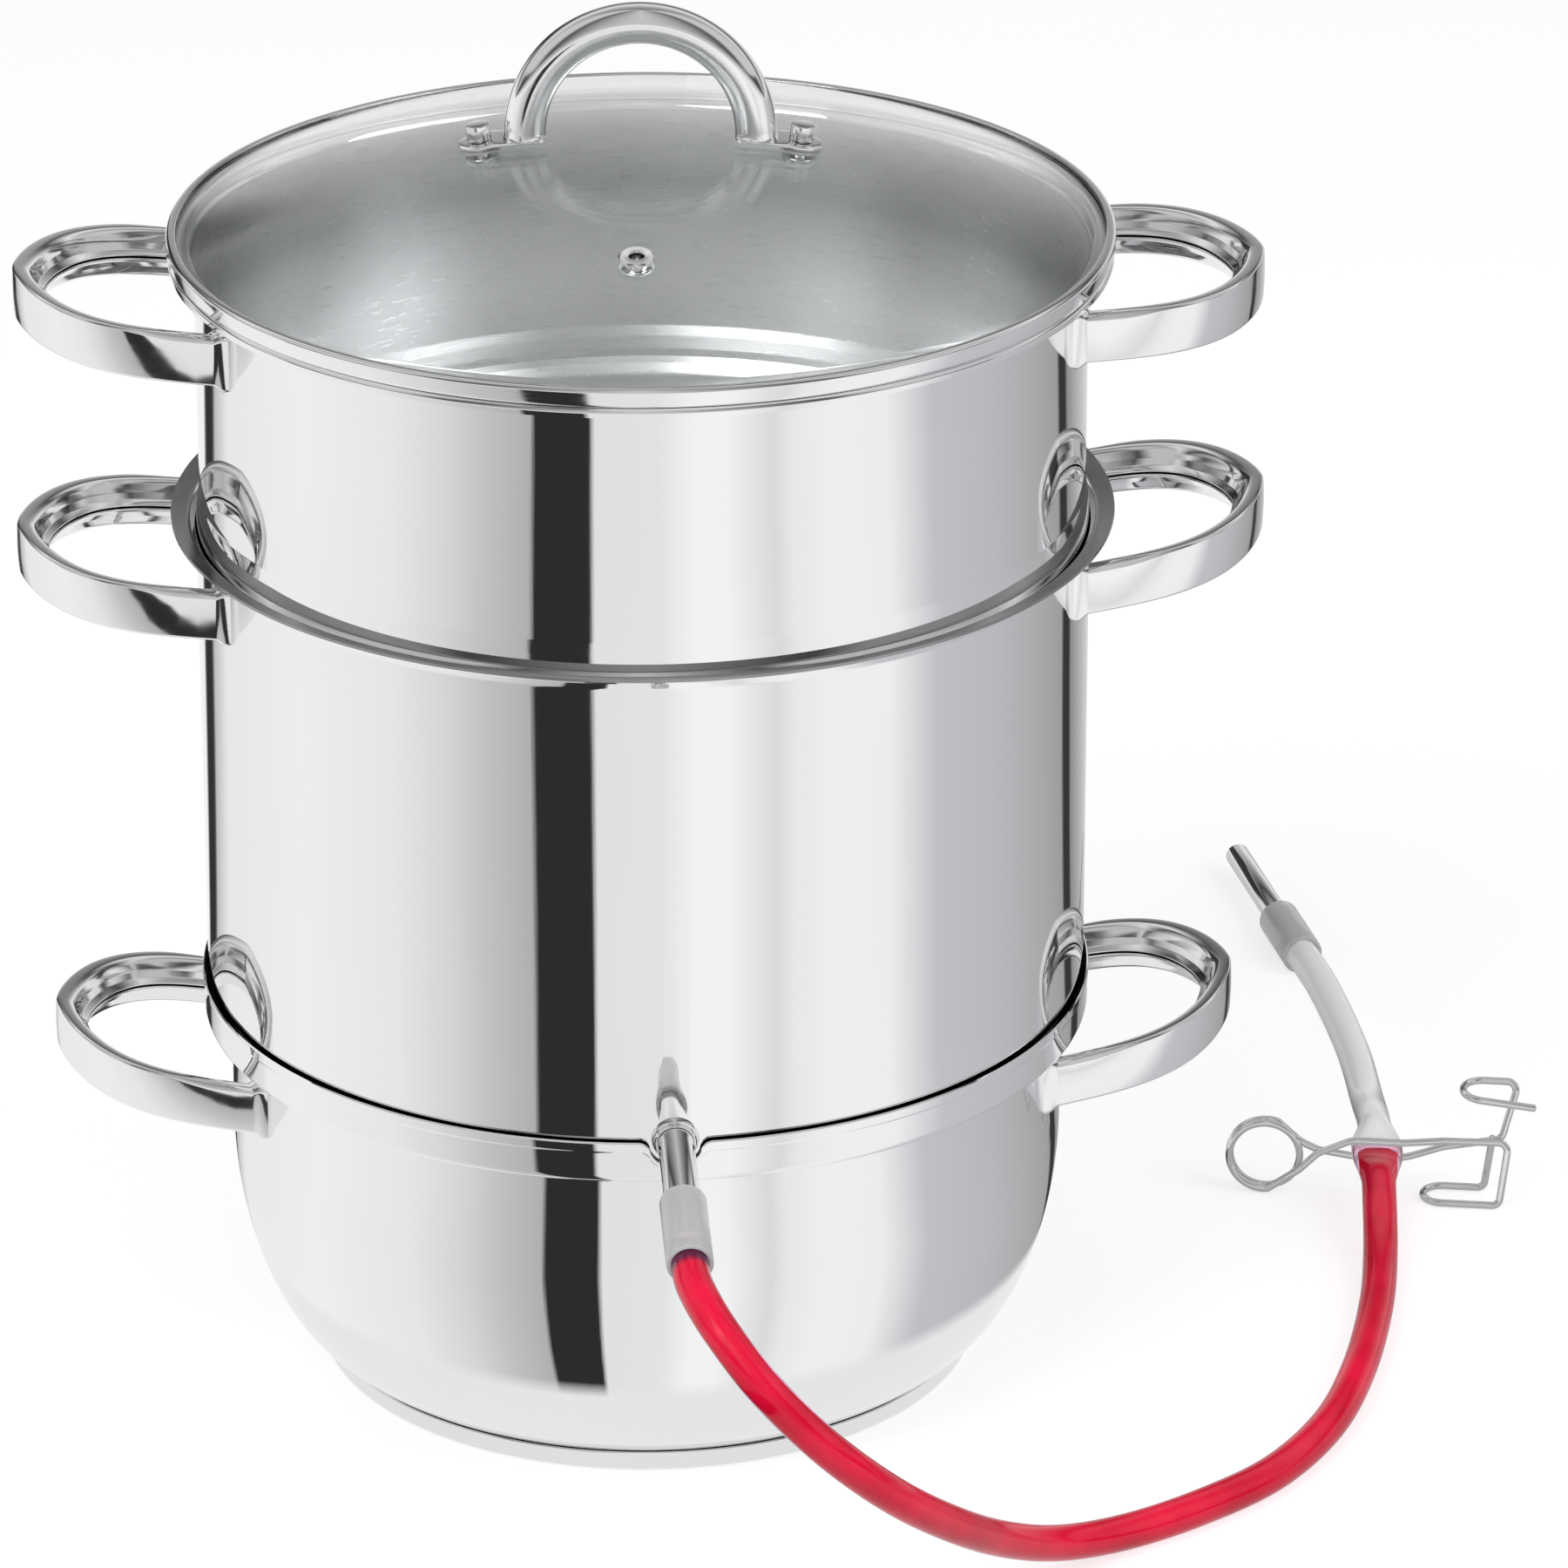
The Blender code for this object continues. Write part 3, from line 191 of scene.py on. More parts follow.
def steel(name, grain, grain_depth, gloss, tone=(0.90, 0.90, 0.905), worn=(0.87, 0.87, 0.88)):
    """Stainless steel: fine marks of the last polish along one direction, which set the roughness
    and a shallow bump, over broad faint clouds of tone."""
    material, tree, where, out = new_material(name)
    along = node(tree, "ShaderNodeMapping", {"Vector": where, "Scale": grain})
    marks = mottle(tree, along.outputs[0], 1.0, 4.0, 0.6)
    clouds = mottle(tree, where, 14.0, 2.0, 0.5)
    shader = node(tree, "ShaderNodeBsdfPrincipled", {
        "Base Color": colour_between(tree, clouds, tone, worn),
        "Roughness": ranged(tree, marks, (0.35, 0.68), gloss),
        "Normal": bump(tree, marks, grain_depth), "Metallic": 1.0,
    })
    tree.links.new(shader.outputs[0], out)
    return material


def in_scene(name, data):
    """A new object that shows a mesh, a lamp or a camera."""
    item = bpy.data.objects.new(name, data)
    bpy.context.scene.collection.objects.link(item)
    return item


def fitted(name, mesh, material, body, slot, *nodes):
    """The mesh as a piece that rides on its body and stands for its solids."""
    piece = in_scene(name, mesh)
    mesh.materials.append(material)
    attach(piece, body)
    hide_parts(*nodes)
    return piece


base_profile = rounded([
    (0.0, 0.0, 0.0), (BASE_RADIUS - 0.012, 0.0, 0.0), (BASE_RADIUS, 0.0, 0.0030),
    (BASE_RADIUS, BASE_TOP, 0.0005), (0.0, BASE_TOP, 0.0),
])
capsule_steel = steel(
    "capsule_steel", grain=(60.0, 60.0, 1500.0), grain_depth=0.000004, gloss=(0.10, 0.20),
    tone=(0.86, 0.86, 0.865), worn=(0.82, 0.82, 0.83),
)
fitted("base_capsule", turned("base_capsule", base_profile), capsule_steel, "pot", "capsule_base",
       "pot_base")


# Water pot. Drawn from one sheet of stainless steel: a round belly, a straight wall, and a collar
# stepped out to hold the kettle. The collar's edge is dressed to a narrow lip, and a notch is
# punched in it for the spout.
POT_RADIUS = 0.1235
POT_WALL = 0.0009
POT_FLOOR = BASE_TOP + 0.0004
BELLY_TOP = 0.075
BELLY_DROP = 0.070
BELLY_DRAW = 0.034
SHOULDER_Z = 0.1093
COLLAR_RADIUS = 0.1313
RIM_Z = 0.1226
LIP_OUT = 0.0003
LIP_DEEP = 0.0043
LIP_THINNED = 0.0005
SPOUT_Z = 0.1227
NOTCH_RADIUS = 0.0080
NOTCH_FLARE = 0.0034
NOTCH_FLOOR = 0.1128
NOTCH_JOIN = math.sqrt(NOTCH_RADIUS ** 2 - (SPOUT_Z - (RIM_Z - NOTCH_FLARE)) ** 2)


def unit(rows):
    """Each row of numbers divided by its length."""
    return rows / np.linalg.norm(rows, axis=1)[:, None]


def sheet(outer, wall):
    """A sheet's closed profile: its outer side, and that side moved to its right by the wall."""
    leg = unit(np.diff(outer, axis=0))
    side = np.stack([leg[:, 1], -leg[:, 0]], -1)
    first, second = np.vstack([side[:1], side]), np.vstack([side, side[-1:]])
    across = (first + second) / (1 + np.sum(first * second, axis=1))[:, None]
    return np.vstack([outer, (outer + wall * across)[::-1]])


def notch_height(across):
    """Height of the collar's edge at a distance across the notch: a round bottom about the spout,
    then a quarter round out to the level edge."""
    reach = np.abs(across)
    bottom = SPOUT_Z - np.sqrt(np.maximum(NOTCH_RADIUS ** 2 - reach ** 2, 0.0))
    gap = np.clip(NOTCH_JOIN + NOTCH_FLARE - reach, 0.0, NOTCH_FLARE)
    shoulder = RIM_Z - NOTCH_FLARE + np.sqrt(NOTCH_FLARE ** 2 - gap ** 2)
    return np.where(reach < NOTCH_JOIN, bottom, shoulder)


belly_angle = np.linspace(0.0, math.radians(69.0), 40)
belly = np.stack([
    POT_RADIUS - BELLY_DRAW * (1 - np.cos(belly_angle)), BELLY_TOP - BELLY_DROP * np.sin(belly_angle),
    np.zeros_like(belly_angle),
], -1)
pot_outer = rounded([
    (COLLAR_RADIUS + 0.0001, RIM_Z, 0.0), (COLLAR_RADIUS + LIP_OUT, RIM_Z - 0.0006, 0.0004),
    (COLLAR_RADIUS + LIP_OUT, RIM_Z - 0.0029, 0.0004), (COLLAR_RADIUS, RIM_Z - 0.0034, 0.0008),
    (COLLAR_RADIUS, SHOULDER_Z, 0.0026), (POT_RADIUS, SHOULDER_Z, 0.0022),
    *belly,
    (0.0984, POT_FLOOR, 0.0007), (0.0, POT_FLOOR, 0.0),
])
pot_profile = sheet(pot_outer, POT_WALL)
# The lip is dressed thin from inside, which leaves a gap round the kettle.
lip_share = np.clip((pot_profile[:, 1] - (RIM_Z - LIP_DEEP)) / 0.0012, 0.0, 1.0)
lip_share[:len(pot_outer)] = 0.0
pot_profile[:, 0] += LIP_THINNED * lip_share
# The pot's angles lie close together at the notch, so that its edge comes out round.
bottom_turn = np.linspace(0.0, math.asin(NOTCH_JOIN / NOTCH_RADIUS), 10)
flare_turn = np.linspace(0.0, math.pi / 2, 8)[1:]
half_notch = np.concatenate([
    NOTCH_RADIUS * np.sin(bottom_turn), NOTCH_JOIN + NOTCH_FLARE * (1 - np.cos(flare_turn)),
])
notch_across = np.concatenate([-half_notch[:0:-1], half_notch])
notch_angles = np.arcsin(notch_across / COLLAR_RADIUS) - math.pi / 2
pot_angles = np.concatenate([
    notch_angles,
    np.linspace(notch_angles[-1], notch_angles[0] + 2 * math.pi, BASE_SIDES)[1:-1],
])
pot_grid = ring_grid(pot_profile, pot_angles)
# Heights over NOTCH_FLOOR are scaled down to the edge's. The far half counts as a metre away.
edge_z = notch_height(np.where(pot_grid[..., 1] < 0, pot_grid[..., 0], 1.0))
in_collar = pot_grid[..., 2] > NOTCH_FLOOR
share = (pot_grid[..., 2] - NOTCH_FLOOR) / (RIM_Z - NOTCH_FLOOR)
pot_grid[..., 2] = np.where(in_collar, NOTCH_FLOOR + share * (edge_z - NOTCH_FLOOR), pot_grid[..., 2])
wall_steel = steel(
    "wall_steel", grain=(150.0, 150.0, 5.0), grain_depth=0.000010, gloss=(0.018, 0.045),
)
inner_steel = steel(
    "inner_steel", grain=(110.0, 110.0, 900.0), grain_depth=0.000006, gloss=(0.26, 0.36),
    tone=(0.95, 0.95, 0.955), worn=(0.91, 0.91, 0.92),
)


def satin_inside(mesh, top):
    """Adds the satin of a vessel's inside, for the faces below a height that look up or towards
    the axis, where a face's place times its direction, added up over x and y, is below zero.
    Gives every face's centre and whether it is one of them."""
    centre, facing = np.zeros(len(mesh.polygons) * 3), np.zeros(len(mesh.polygons) * 3)
    mesh.polygons.foreach_get("center", centre)
    mesh.polygons.foreach_get("normal", facing)
    centre, facing = centre.reshape(-1, 3), facing.reshape(-1, 3)
    inwards = np.sum(centre[:, :2] * facing[:, :2], axis=1) < -0.02
    inside = (inwards | (facing[:, 2] > 0.5)) & (centre[:, 2] < top)
    mesh.materials.append(inner_steel)
    mesh.polygons.foreach_set("material_index", inside.astype(np.int32))
    return centre, inside


pot_mesh = surface("pot_shell", pot_grid, closed=True)
fitted("pot_shell", pot_mesh, wall_steel, "pot", "polished_steel", "water_pot")
satin_inside(pot_mesh, RIM_Z - 0.0045)


# Side handles of the three vessels. Strip rolled into a hollow bar that is flat outside, with its
# two edges folded in to a seam along the inner side, bent into a loop that rises a little outwards,
# and spot-welded to the wall by a foot that is pressed wider.
KETTLE_RADIUS = 0.1300
BASKET_RADIUS = 0.1288
LOOP_REACH = 0.0520
LOOP_HALF = 0.0420
BAR_HALF = 0.00475
FOOT_SUNK = 0.004
FREE_FROM = 0.0112
ROUNDER_TO = 0.0310
ROUNDER_OVER = 0.0150
# The rows of a foot: how far each stands off the wall, and how wide it is beside the bar's 1.
FOOT_OFF, FOOT_WIDE = np.array([
    (-0.0003, 0.02), (-0.0003, 1.20), (0.0007, 1.22), (0.0018, 1.20), (0.0029, 1.10),
    (0.0036, 1.02), (0.0042, 1.0),
]).T[:, :, None]
# The bar's upper half in millimetres out from its middle line, up, and bend: from the middle of
# the flat outer face over the upper edge to the lip of the seam. The foot's edge is rounder.
fold_half = [
    (4.75, 0.00, 60.0), (4.45, 7.35, 1.0), (-0.30, 7.30, 2.4), (-1.75, 3.70, 1.0),
    (-2.70, 1.90, 0.8), (-4.60, 0.75, 0.6), (-4.20, 0.30, 0.2), (0.60, 0.30, 0.0),
]
fold_below = [(depth, -lift, bend) for depth, lift, bend in fold_half[:0:-1]]
free_section = rounded([*fold_below, *fold_half], steps=5, closed=True) / 1000
fold_half[1] = (4.45, 7.35, 3.4)
foot_section = rounded([*fold_below, *fold_half], steps=5, closed=True) / 1000


def powered(value, power):
    """The value's size raised to a power, with its sign kept."""
    return np.sign(value) * np.abs(value) ** power


def eased(share):
    """The share held between 0 and 1, and smoothed: 3 times its square less twice its cube."""
    share = np.clip(share, 0.0, 1.0)
    return share * share * (3 - 2 * share)


def side_grip(name, wall, height, side, rise):
    """The section carried round half of a squared loop, its middle line at
    (|cos a|^0.5 reach, |sin a|^1.36 half span), and raised by tan rise times the distance out
    from where the loop meets the wall. Its upper edge is rounder near the wall, and the foot rows
    follow the wall's curve."""
    start = math.sqrt(wall ** 2 - LOOP_HALF ** 2) - FOOT_SUNK
    reach = wall + LOOP_REACH - BAR_HALF - start
    angle = np.linspace(-math.pi / 2, math.pi / 2, 241)
    out = powered(np.cos(angle), 0.5) * reach
    route = np.stack([start + out, powered(np.sin(angle), 1.36) * LOOP_HALF], -1)
    run = unit(np.gradient(route, axis=0))
    free = np.flatnonzero(out > FREE_FROM)
    free = free[np.unique(np.linspace(0, len(free) - 1, 90).round().astype(int))]
    near = eased((ROUNDER_TO - out[free]) / ROUNDER_OVER)[:, None, None]
    section = free_section + near * (foot_section - free_section)
    outwards = np.stack([run[:, 1], -run[:, 0]], -1)[free]
    loop_xy = route[free][:, None] + outwards[:, None] * section[..., :1]
    loop = np.concatenate([loop_xy, section[..., 1:]], -1)
    depth, lift = foot_section.T
    feet = []
    for end in (-1.0, 1.0):
        y = end * (LOOP_HALF + depth * (0.5 + FOOT_WIDE / 2))
        x = np.sqrt(wall ** 2 - np.minimum(np.abs(y), wall) ** 2) + FOOT_OFF
        foot = np.stack([x, y, lift * FOOT_WIDE], -1)
        foot[0] = (x[0].mean(), end * (LOOP_HALF + 0.0025), 0.0)
        feet.append(foot)
    grid = np.concatenate([feet[0], loop, feet[1][::-1]])
    grid[..., 2] += math.tan(rise) * np.maximum(grid[..., 0] - start - FOOT_SUNK, 0.0)
    grid[..., 0] *= side
    grid[..., 2] += height
    return surface(name, grid, sharp=32.0)


grip_steel = steel(
    "grip_steel", grain=(90.0, 90.0, 90.0), grain_depth=0.000006, gloss=(0.06, 0.13),
)
# Wall radius, height, and how many degrees the left and the right loop rise outwards.
grip_levels = (
    ("pot", POT_RADIUS, 0.0960, 10.5, 11.5), ("kettle", KETTLE_RADIUS, 0.2527, 6.0, 9.5),
    ("basket", BASKET_RADIUS, 0.3303, 7.0, 3.0),
)
for body, radius, level, *rises in grip_levels:
    for word, side, rise in zip(("left", "right"), (-1.0, 1.0), rises):
        mesh = side_grip(f"{body}_grip_{word}", radius, level, side, math.radians(rise))
        fitted(f"{body}_grip_{word}", mesh, grip_steel, body, "polished_steel",
               f"{body}_handle_{word}")


# Juice kettle. A drawn steel cylinder that stands in the pot's collar. Its floor rises to a hole in
# the middle, and its rim is spun out into a flat flange, left satin, that the basket hangs in. The
# flange's steel is painted dark grey: painted shade where the basket's bead sits over it.
KETTLE_WALL = 0.0008
KETTLE_FOOT = 0.1105
KETTLE_TOP = 0.2664
KETTLE_SATIN_TOP = 0.2600
FLANGE_FROM = 0.1312
FLANGE_OVER = 0.2650
SPOUT_SLOPE = math.radians(9.2)
SPOUT_RADIUS = 0.0052


def spout_place(along):
    """Frame on the spout's axis, that far out from the kettle's wall, which the axis meets just
    over the pot's rim: Z runs outwards, down the slope."""
    place = np.eye(4)
    place[:3, 1] = (0.0, -math.sin(SPOUT_SLOPE), math.cos(SPOUT_SLOPE))
    place[:3, 2] = (0.0, -math.cos(SPOUT_SLOPE), -math.sin(SPOUT_SLOPE))
    place[:3, 3] = (0.0, -KETTLE_RADIUS, RIM_Z + 0.0003)
    place[:3, 3] += place[:3, 2] * along
    return place


def bored(piece_mesh, cutters):
    """The mesh with holes cut through it by the cutters' meshes."""
    blank = in_scene(piece_mesh.name, piece_mesh)
    tools = [in_scene(cutter.name, cutter) for cutter in cutters]
    for tool in tools:
        step = blank.modifiers.new(tool.name, "BOOLEAN")
        step.operation = "DIFFERENCE"
        step.solver = "EXACT"
        step.object = tool
    bpy.context.view_layer.update()
    cut = bpy.data.meshes.new_from_object(blank.evaluated_get(bpy.context.evaluated_depsgraph_get()))
    for item in (blank, *tools):
        bpy.data.objects.remove(item, do_unlink=True)
    return welded(cut)


def post(name, radius, low, high, place):
    """A short solid post along a frame's Z, to cut a round hole with."""
    profile = np.array([(0.0, low), (radius, low), (radius, high), (0.0, high)])
    return turned(name, profile, 32, place)


kettle_outer = rounded([
    (0.1373, KETTLE_TOP, 0.0), (0.1326, KETTLE_TOP - 0.0009, 0.0014), (0.1309, 0.2634, 0.0008),
    (KETTLE_RADIUS, 0.2613, 0.0020), (KETTLE_RADIUS, KETTLE_FOOT, 0.0030),
    (0.119, KETTLE_FOOT, 0.004), (0.031, KETTLE_FOOT + 0.006, 0.0),
])
spout_hole = post("spout_hole", SPOUT_RADIUS - 0.0002, -0.006, 0.006, spout_place(0.0))
kettle_mesh = bored(turned("kettle_shell", sheet(kettle_outer, KETTLE_WALL)), [spout_hole])
# The flange's dark grey tone is painted shade under the basket's bead, not the steel's own colour.
flange_steel_painted_shade = steel(
    "flange_steel_painted_shade", grain=(70.0, 70.0, 1200.0), grain_depth=0.000005, gloss=(0.20, 0.30),
    tone=(0.38, 0.38, 0.385), worn=(0.30, 0.30, 0.305),
)
fitted("kettle_shell", kettle_mesh, wall_steel, "kettle", "polished_steel", "juice_kettle")
centre, in_kettle = satin_inside(kettle_mesh, KETTLE_SATIN_TOP)
# The flange's faces get the steel with the painted shade.
kettle_mesh.materials.append(flange_steel_painted_shade)
on_flange = (np.hypot(centre[:, 0], centre[:, 1]) > FLANGE_FROM) & (centre[:, 2] > FLANGE_OVER)
kettle_mesh.polygons.foreach_set("material_index", np.where(on_flange, 2, in_kettle).astype(np.int32))


# Steam chimney. An open steel cone welded over the hole in the kettle's floor, so that the steam
# passes up through the juice without it running back.
chimney_outer = rounded([
    (0.0210, 0.21333, 0.0), (0.0350, 0.12133, 0.0020), (0.0362, 0.11895, 0.0010),
    (0.0400, 0.11779, 0.0),
])
fitted("chimney_cone", turned("chimney_cone", sheet(chimney_outer, KETTLE_WALL), 96), inner_steel,
       "kettle", "polished_steel", "steam_chimney")


# Spout. A drawn steel pipe pushed through the kettle's wall on a slope, and held by a stepped
# weld ring that is ground to the wall's curve.
SPOUT_LENGTH = 0.0535
PIPE_WALL = 0.0007
PIPE_BACK = -0.003
pipe = rounded([
    (SPOUT_RADIUS, PIPE_BACK, 0.0), (SPOUT_RADIUS, SPOUT_LENGTH, 0.0003),
    (SPOUT_RADIUS - PIPE_WALL, SPOUT_LENGTH, 0.0003), (SPOUT_RADIUS - PIPE_WALL, PIPE_BACK, 0.0),
])
pipe_steel = steel(
    "pipe_steel", grain=(300.0, 30.0, 300.0), grain_depth=0.000004, gloss=(0.03, 0.07),
)
fitted("spout_pipe", turned("spout_pipe", pipe, 64, spout_place(0.0)), pipe_steel, "kettle",
       "polished_steel", "juice_spout")

ring_profile = rounded([
    (0.0053, -0.0010, 0.0), (0.0053, 0.0021, 0.0002), (0.0057, 0.0021, 0.0002),
    (0.0060, 0.0015, 0.0003), (0.0061, 0.0010, 0.0002), (0.0066, 0.0009, 0.0003),
    (0.0068, 0.0, 0.0), (0.0068, -0.0010, 0.0),
], steps=4)
ring_points = placed(ring_grid(ring_profile, round_angles(72)), spout_place(0.0))
behind_wall = np.sqrt((KETTLE_RADIUS - 0.0003) ** 2 - ring_points[..., 0] ** 2)
ring_points[..., 1] = np.minimum(ring_points[..., 1], -behind_wall)
fitted("spout_weld_ring", surface("spout_weld_ring", ring_points, closed=True), pipe_steel,
       "kettle", "polished_steel", "spout_collar")


# Soft sleeves. Short tubes of frosted grey silicone: one joins the spout to the hose, and one
# grips the hose's far end and holds the nozzle. Their ends are cut square and slightly rounded.
SLEEVE_RADIUS = 0.0067
SLEEVE_LENGTH = 0.0300
SLEEVE_OVERLAP = 0.022
SLEEVE_BORE = SPOUT_RADIUS + 0.00025


def finish_between(tree, share, first, second):
    """Two finishes mixed by a share, from the first at 0 to the second at 1."""
    return node(tree, "ShaderNodeMixShader", {0: share, 1: first.outputs[0], 2: second.outputs[0]})


def worked_out(tree, operation, *values):
    """What a sum with one or two values gives."""
    return node(tree, "ShaderNodeMath", dict(enumerate(values)), operation=operation).outputs[0]


def soft_silicone(name, colour, clear, gloss, speckle):
    """Silicone that lets light through: part clear with a soft gloss, part milky, with a fine
    moulding texture, and faint clouds in its tone."""
    material, tree, where, out = new_material(name)
    clouds = mottle(tree, where, 60.0, 3.0, 0.55)
    fine = mottle(tree, where, 1800.0, 2.0, 0.5)
    shader = node(tree, "ShaderNodeBsdfPrincipled", {
        "Base Color": colour_between(tree, clouds, colour, [0.93 * value for value in colour]),
        "Roughness": ranged(tree, clouds, (0.3, 0.7), gloss), "Normal": bump(tree, fine, speckle),
        "IOR": 1.41, "Transmission Weight": clear,
    })
    through = node(tree, "ShaderNodeBsdfTransparent", {"Color": colour})
    shadow = node(tree, "ShaderNodeLightPath").outputs["Is Shadow Ray"]
    share = worked_out(tree, "MULTIPLY", shadow, clear)
    tree.links.new(finish_between(tree, share, shader, through).outputs[0], out)
    return material


sleeve_silicone = soft_silicone(
    "sleeve_silicone", (0.80, 0.80, 0.805), clear=0.60, gloss=(0.16, 0.26), speckle=0.000004,
)
sleeve_profile = rounded([
    (SLEEVE_RADIUS, 0.0, 0.0006), (SLEEVE_RADIUS, SLEEVE_LENGTH, 0.0006),
    (SLEEVE_BORE, SLEEVE_LENGTH, 0.0002), (SLEEVE_BORE, 0.0, 0.0002),
], steps=4, closed=True)
sleeve_place = spout_place(SPOUT_LENGTH - SLEEVE_OVERLAP)
spout_sleeve = fitted(
    "spout_soft_sleeve", turned("spout_soft_sleeve", sleeve_profile, 64, sleeve_place),
    sleeve_silicone, "kettle", "frosted_sleeve", "spout_sleeve",
)


# Juice hose. One length of milky clear silicone hose, full of red juice from the spout to the
# clamp and empty beyond it. The clamp's jaws squeeze it flat, and its far end holds the nozzle.
HOSE_RADIUS = 0.0053
HOSE_BORE = 0.0035
HOSE_SIDES = 40
PINCH_PLACE = np.array([0.2320, 0.0700, 0.0155])
PINCH_HALF = 0.0210
JAW_HALF = 0.0030
# Half the width and half the height between the jaws, of the hose, of its empty bore, and of the
# juice.
SKIN_FLAT = (0.0080, 0.0018)
BORE_FLAT = (0.0058, 0.00015)
JUICE_FLAT = (0.0060, 0.0005)
HOSE_ROUTE = np.array([
    (0.0000, -0.1832, 0.1143), (0.0000, -0.1915, 0.1129), (0.0008, -0.2010, 0.1111),
    (0.0064, -0.2155, 0.1052), (0.0180, -0.2285, 0.0930), (0.0345, -0.2330, 0.0765),
    (0.0530, -0.2265, 0.0580), (0.0710, -0.2090, 0.0390), (0.0880, -0.1890, 0.0225),
    (0.1060, -0.1715, 0.0110), (0.1265, -0.1570, 0.0058), (0.1500, -0.1430, 0.0053),
    (0.1745, -0.1230, 0.0053), (0.1945, -0.0940, 0.0053), (0.2085, -0.0590, 0.0053),
    (0.2195, -0.0180, 0.0053), (0.2255, 0.0150, 0.0066), (0.2290, 0.0430, 0.0124),
    (0.2320, 0.0700, 0.0155), (0.2348, 0.0970, 0.0124), (0.2368, 0.1250, 0.0066),
    (0.2378, 0.1580, 0.0053), (0.2368, 0.1850, 0.0055), (0.2345, 0.2120, 0.0063),
    (0.2321, 0.2292, 0.0067), (0.23105, 0.2371, 0.0067), (0.2300, 0.2450, 0.0067),
])


def smooth_line(points, steps=40):
    """A Catmull-Rom curve through the points, and the length along it at each point of it."""
    given = np.vstack([2 * points[0] - points[1], points, 2 * points[-1] - points[-2]])
    a, b, c, d = (given[i:len(given) - 3 + i, None] for i in range(4))
    t = np.linspace(0.0, 1.0, steps, endpoint=False)[None, :, None]
    curve = 0.5 * (2 * b + (c - a) * t + (2 * a - 5 * b + 4 * c - d) * t ** 2
                   + (3 * b - a - 3 * c + d) * t ** 3)
    dense = np.vstack([curve.reshape(-1, 3), points[-1:]])
    along = np.concatenate([[0.0], np.cumsum(np.linalg.norm(np.diff(dense, axis=0), axis=1))])
    return dense, along


hose_line, hose_along = smooth_line(HOSE_ROUTE)
hose_length = hose_along[-1]
pinch = hose_along[np.argmin(np.linalg.norm(hose_line - PINCH_PLACE, axis=1))]


def on_line(places):
    """Points of the hose's middle line at lengths along it, one coordinate at a time."""
    return np.stack([np.interp(places, hose_along, hose_line[:, axis]) for axis in range(3)], -1)


def hose_rings(places, radius, flat, taper=(1.0, 1.0)):
    """Rings square to the hose's middle line at lengths along it: round of the radius away from
    the jaws, between them ovals of the flat half width and height, and eased from one to the
    other. Taper makes each ring narrower and lower."""
    centres = on_line(places)
    share = eased((np.abs(places - pinch) - JAW_HALF) / (PINCH_HALF - JAW_HALF))
    wide, tall = ((half + (radius - half) * share) * end for half, end in zip(flat, taper))
    run = unit(np.gradient(centres, axis=0))
    across = unit(np.stack([run[:, 1], -run[:, 0], np.zeros(len(run))], -1))
    above = np.cross(across, run)
    turn = round_angles(HOSE_SIDES)[:, None]
    return (centres[:, None] + across[:, None] * wide[:, None, None] * np.cos(turn)
            + above[:, None] * tall[:, None, None] * np.sin(turn))


def drawn_in(ring):
    """A ring of points drawn together in its middle, as the row that closes an end."""
    return np.repeat(ring.mean(axis=0, keepdims=True)[None], len(ring), axis=1)


places = np.linspace(0.0, hose_length, 300)
centres = on_line(places)
skin = hose_rings(places, HOSE_RADIUS, SKIN_FLAT)
hollow = hose_rings(places[places > pinch + 0.0040], HOSE_BORE, BORE_FLAT)
start_face = np.repeat(centres[:1, None], HOSE_SIDES, axis=1)
hose_mesh = surface("juice_hose", np.concatenate([start_face, skin, hollow[::-1], drawn_in(hollow[0])]))

juice_places = np.linspace(0.0006, pinch - 0.0012, 190)
fill_end = np.sqrt(np.clip((juice_places[-1] - juice_places) / 0.0020, 0.0, 1.0))
juice = hose_rings(juice_places, HOSE_BORE, JUICE_FLAT, (0.6 + 0.4 * fill_end, 0.3 + 0.7 * fill_end))
juice_mesh = surface("juice_column", np.concatenate([drawn_in(juice[0]), juice, drawn_in(juice[-1])]))


def hose_silicone():
    """Clear silicone. Along the full stretch the juice tints it pink all through, and past the
    jaws, where y is greater than the pinch's, it is milky and only a third clear."""
    material, tree, where, out = new_material("hose_silicone")
    along_y = node(tree, "ShaderNodeSeparateXYZ", {"Vector": where}).outputs["Y"]
    empty = ranged(tree, along_y, (0.0690, 0.0740), (0.0, 1.0))
    haze = mottle(tree, where, 90.0, 2.0, 0.5)
    full_tint = colour_between(tree, haze, (1.0, 0.40, 0.64), (1.0, 0.48, 0.70))
    tint = colour_between(tree, empty, full_tint, (1.0, 1.0, 1.0))
    shader = node(tree, "ShaderNodeBsdfPrincipled", {
        "Base Color": tint, "Roughness": ranged(tree, haze, (0.3, 0.7), (0.06, 0.14)),
        "Transmission Weight": ranged(tree, empty, (0.0, 1.0), (1.0, 0.35)),
        "IOR": 1.41, "Specular IOR Level": 0.30,
    })
    through = node(tree, "ShaderNodeBsdfTransparent", {"Color": tint})
    shadow = node(tree, "ShaderNodeLightPath").outputs["Is Shadow Ray"]
    tree.links.new(finish_between(tree, shadow, shader, through).outputs[0], out)
    return material


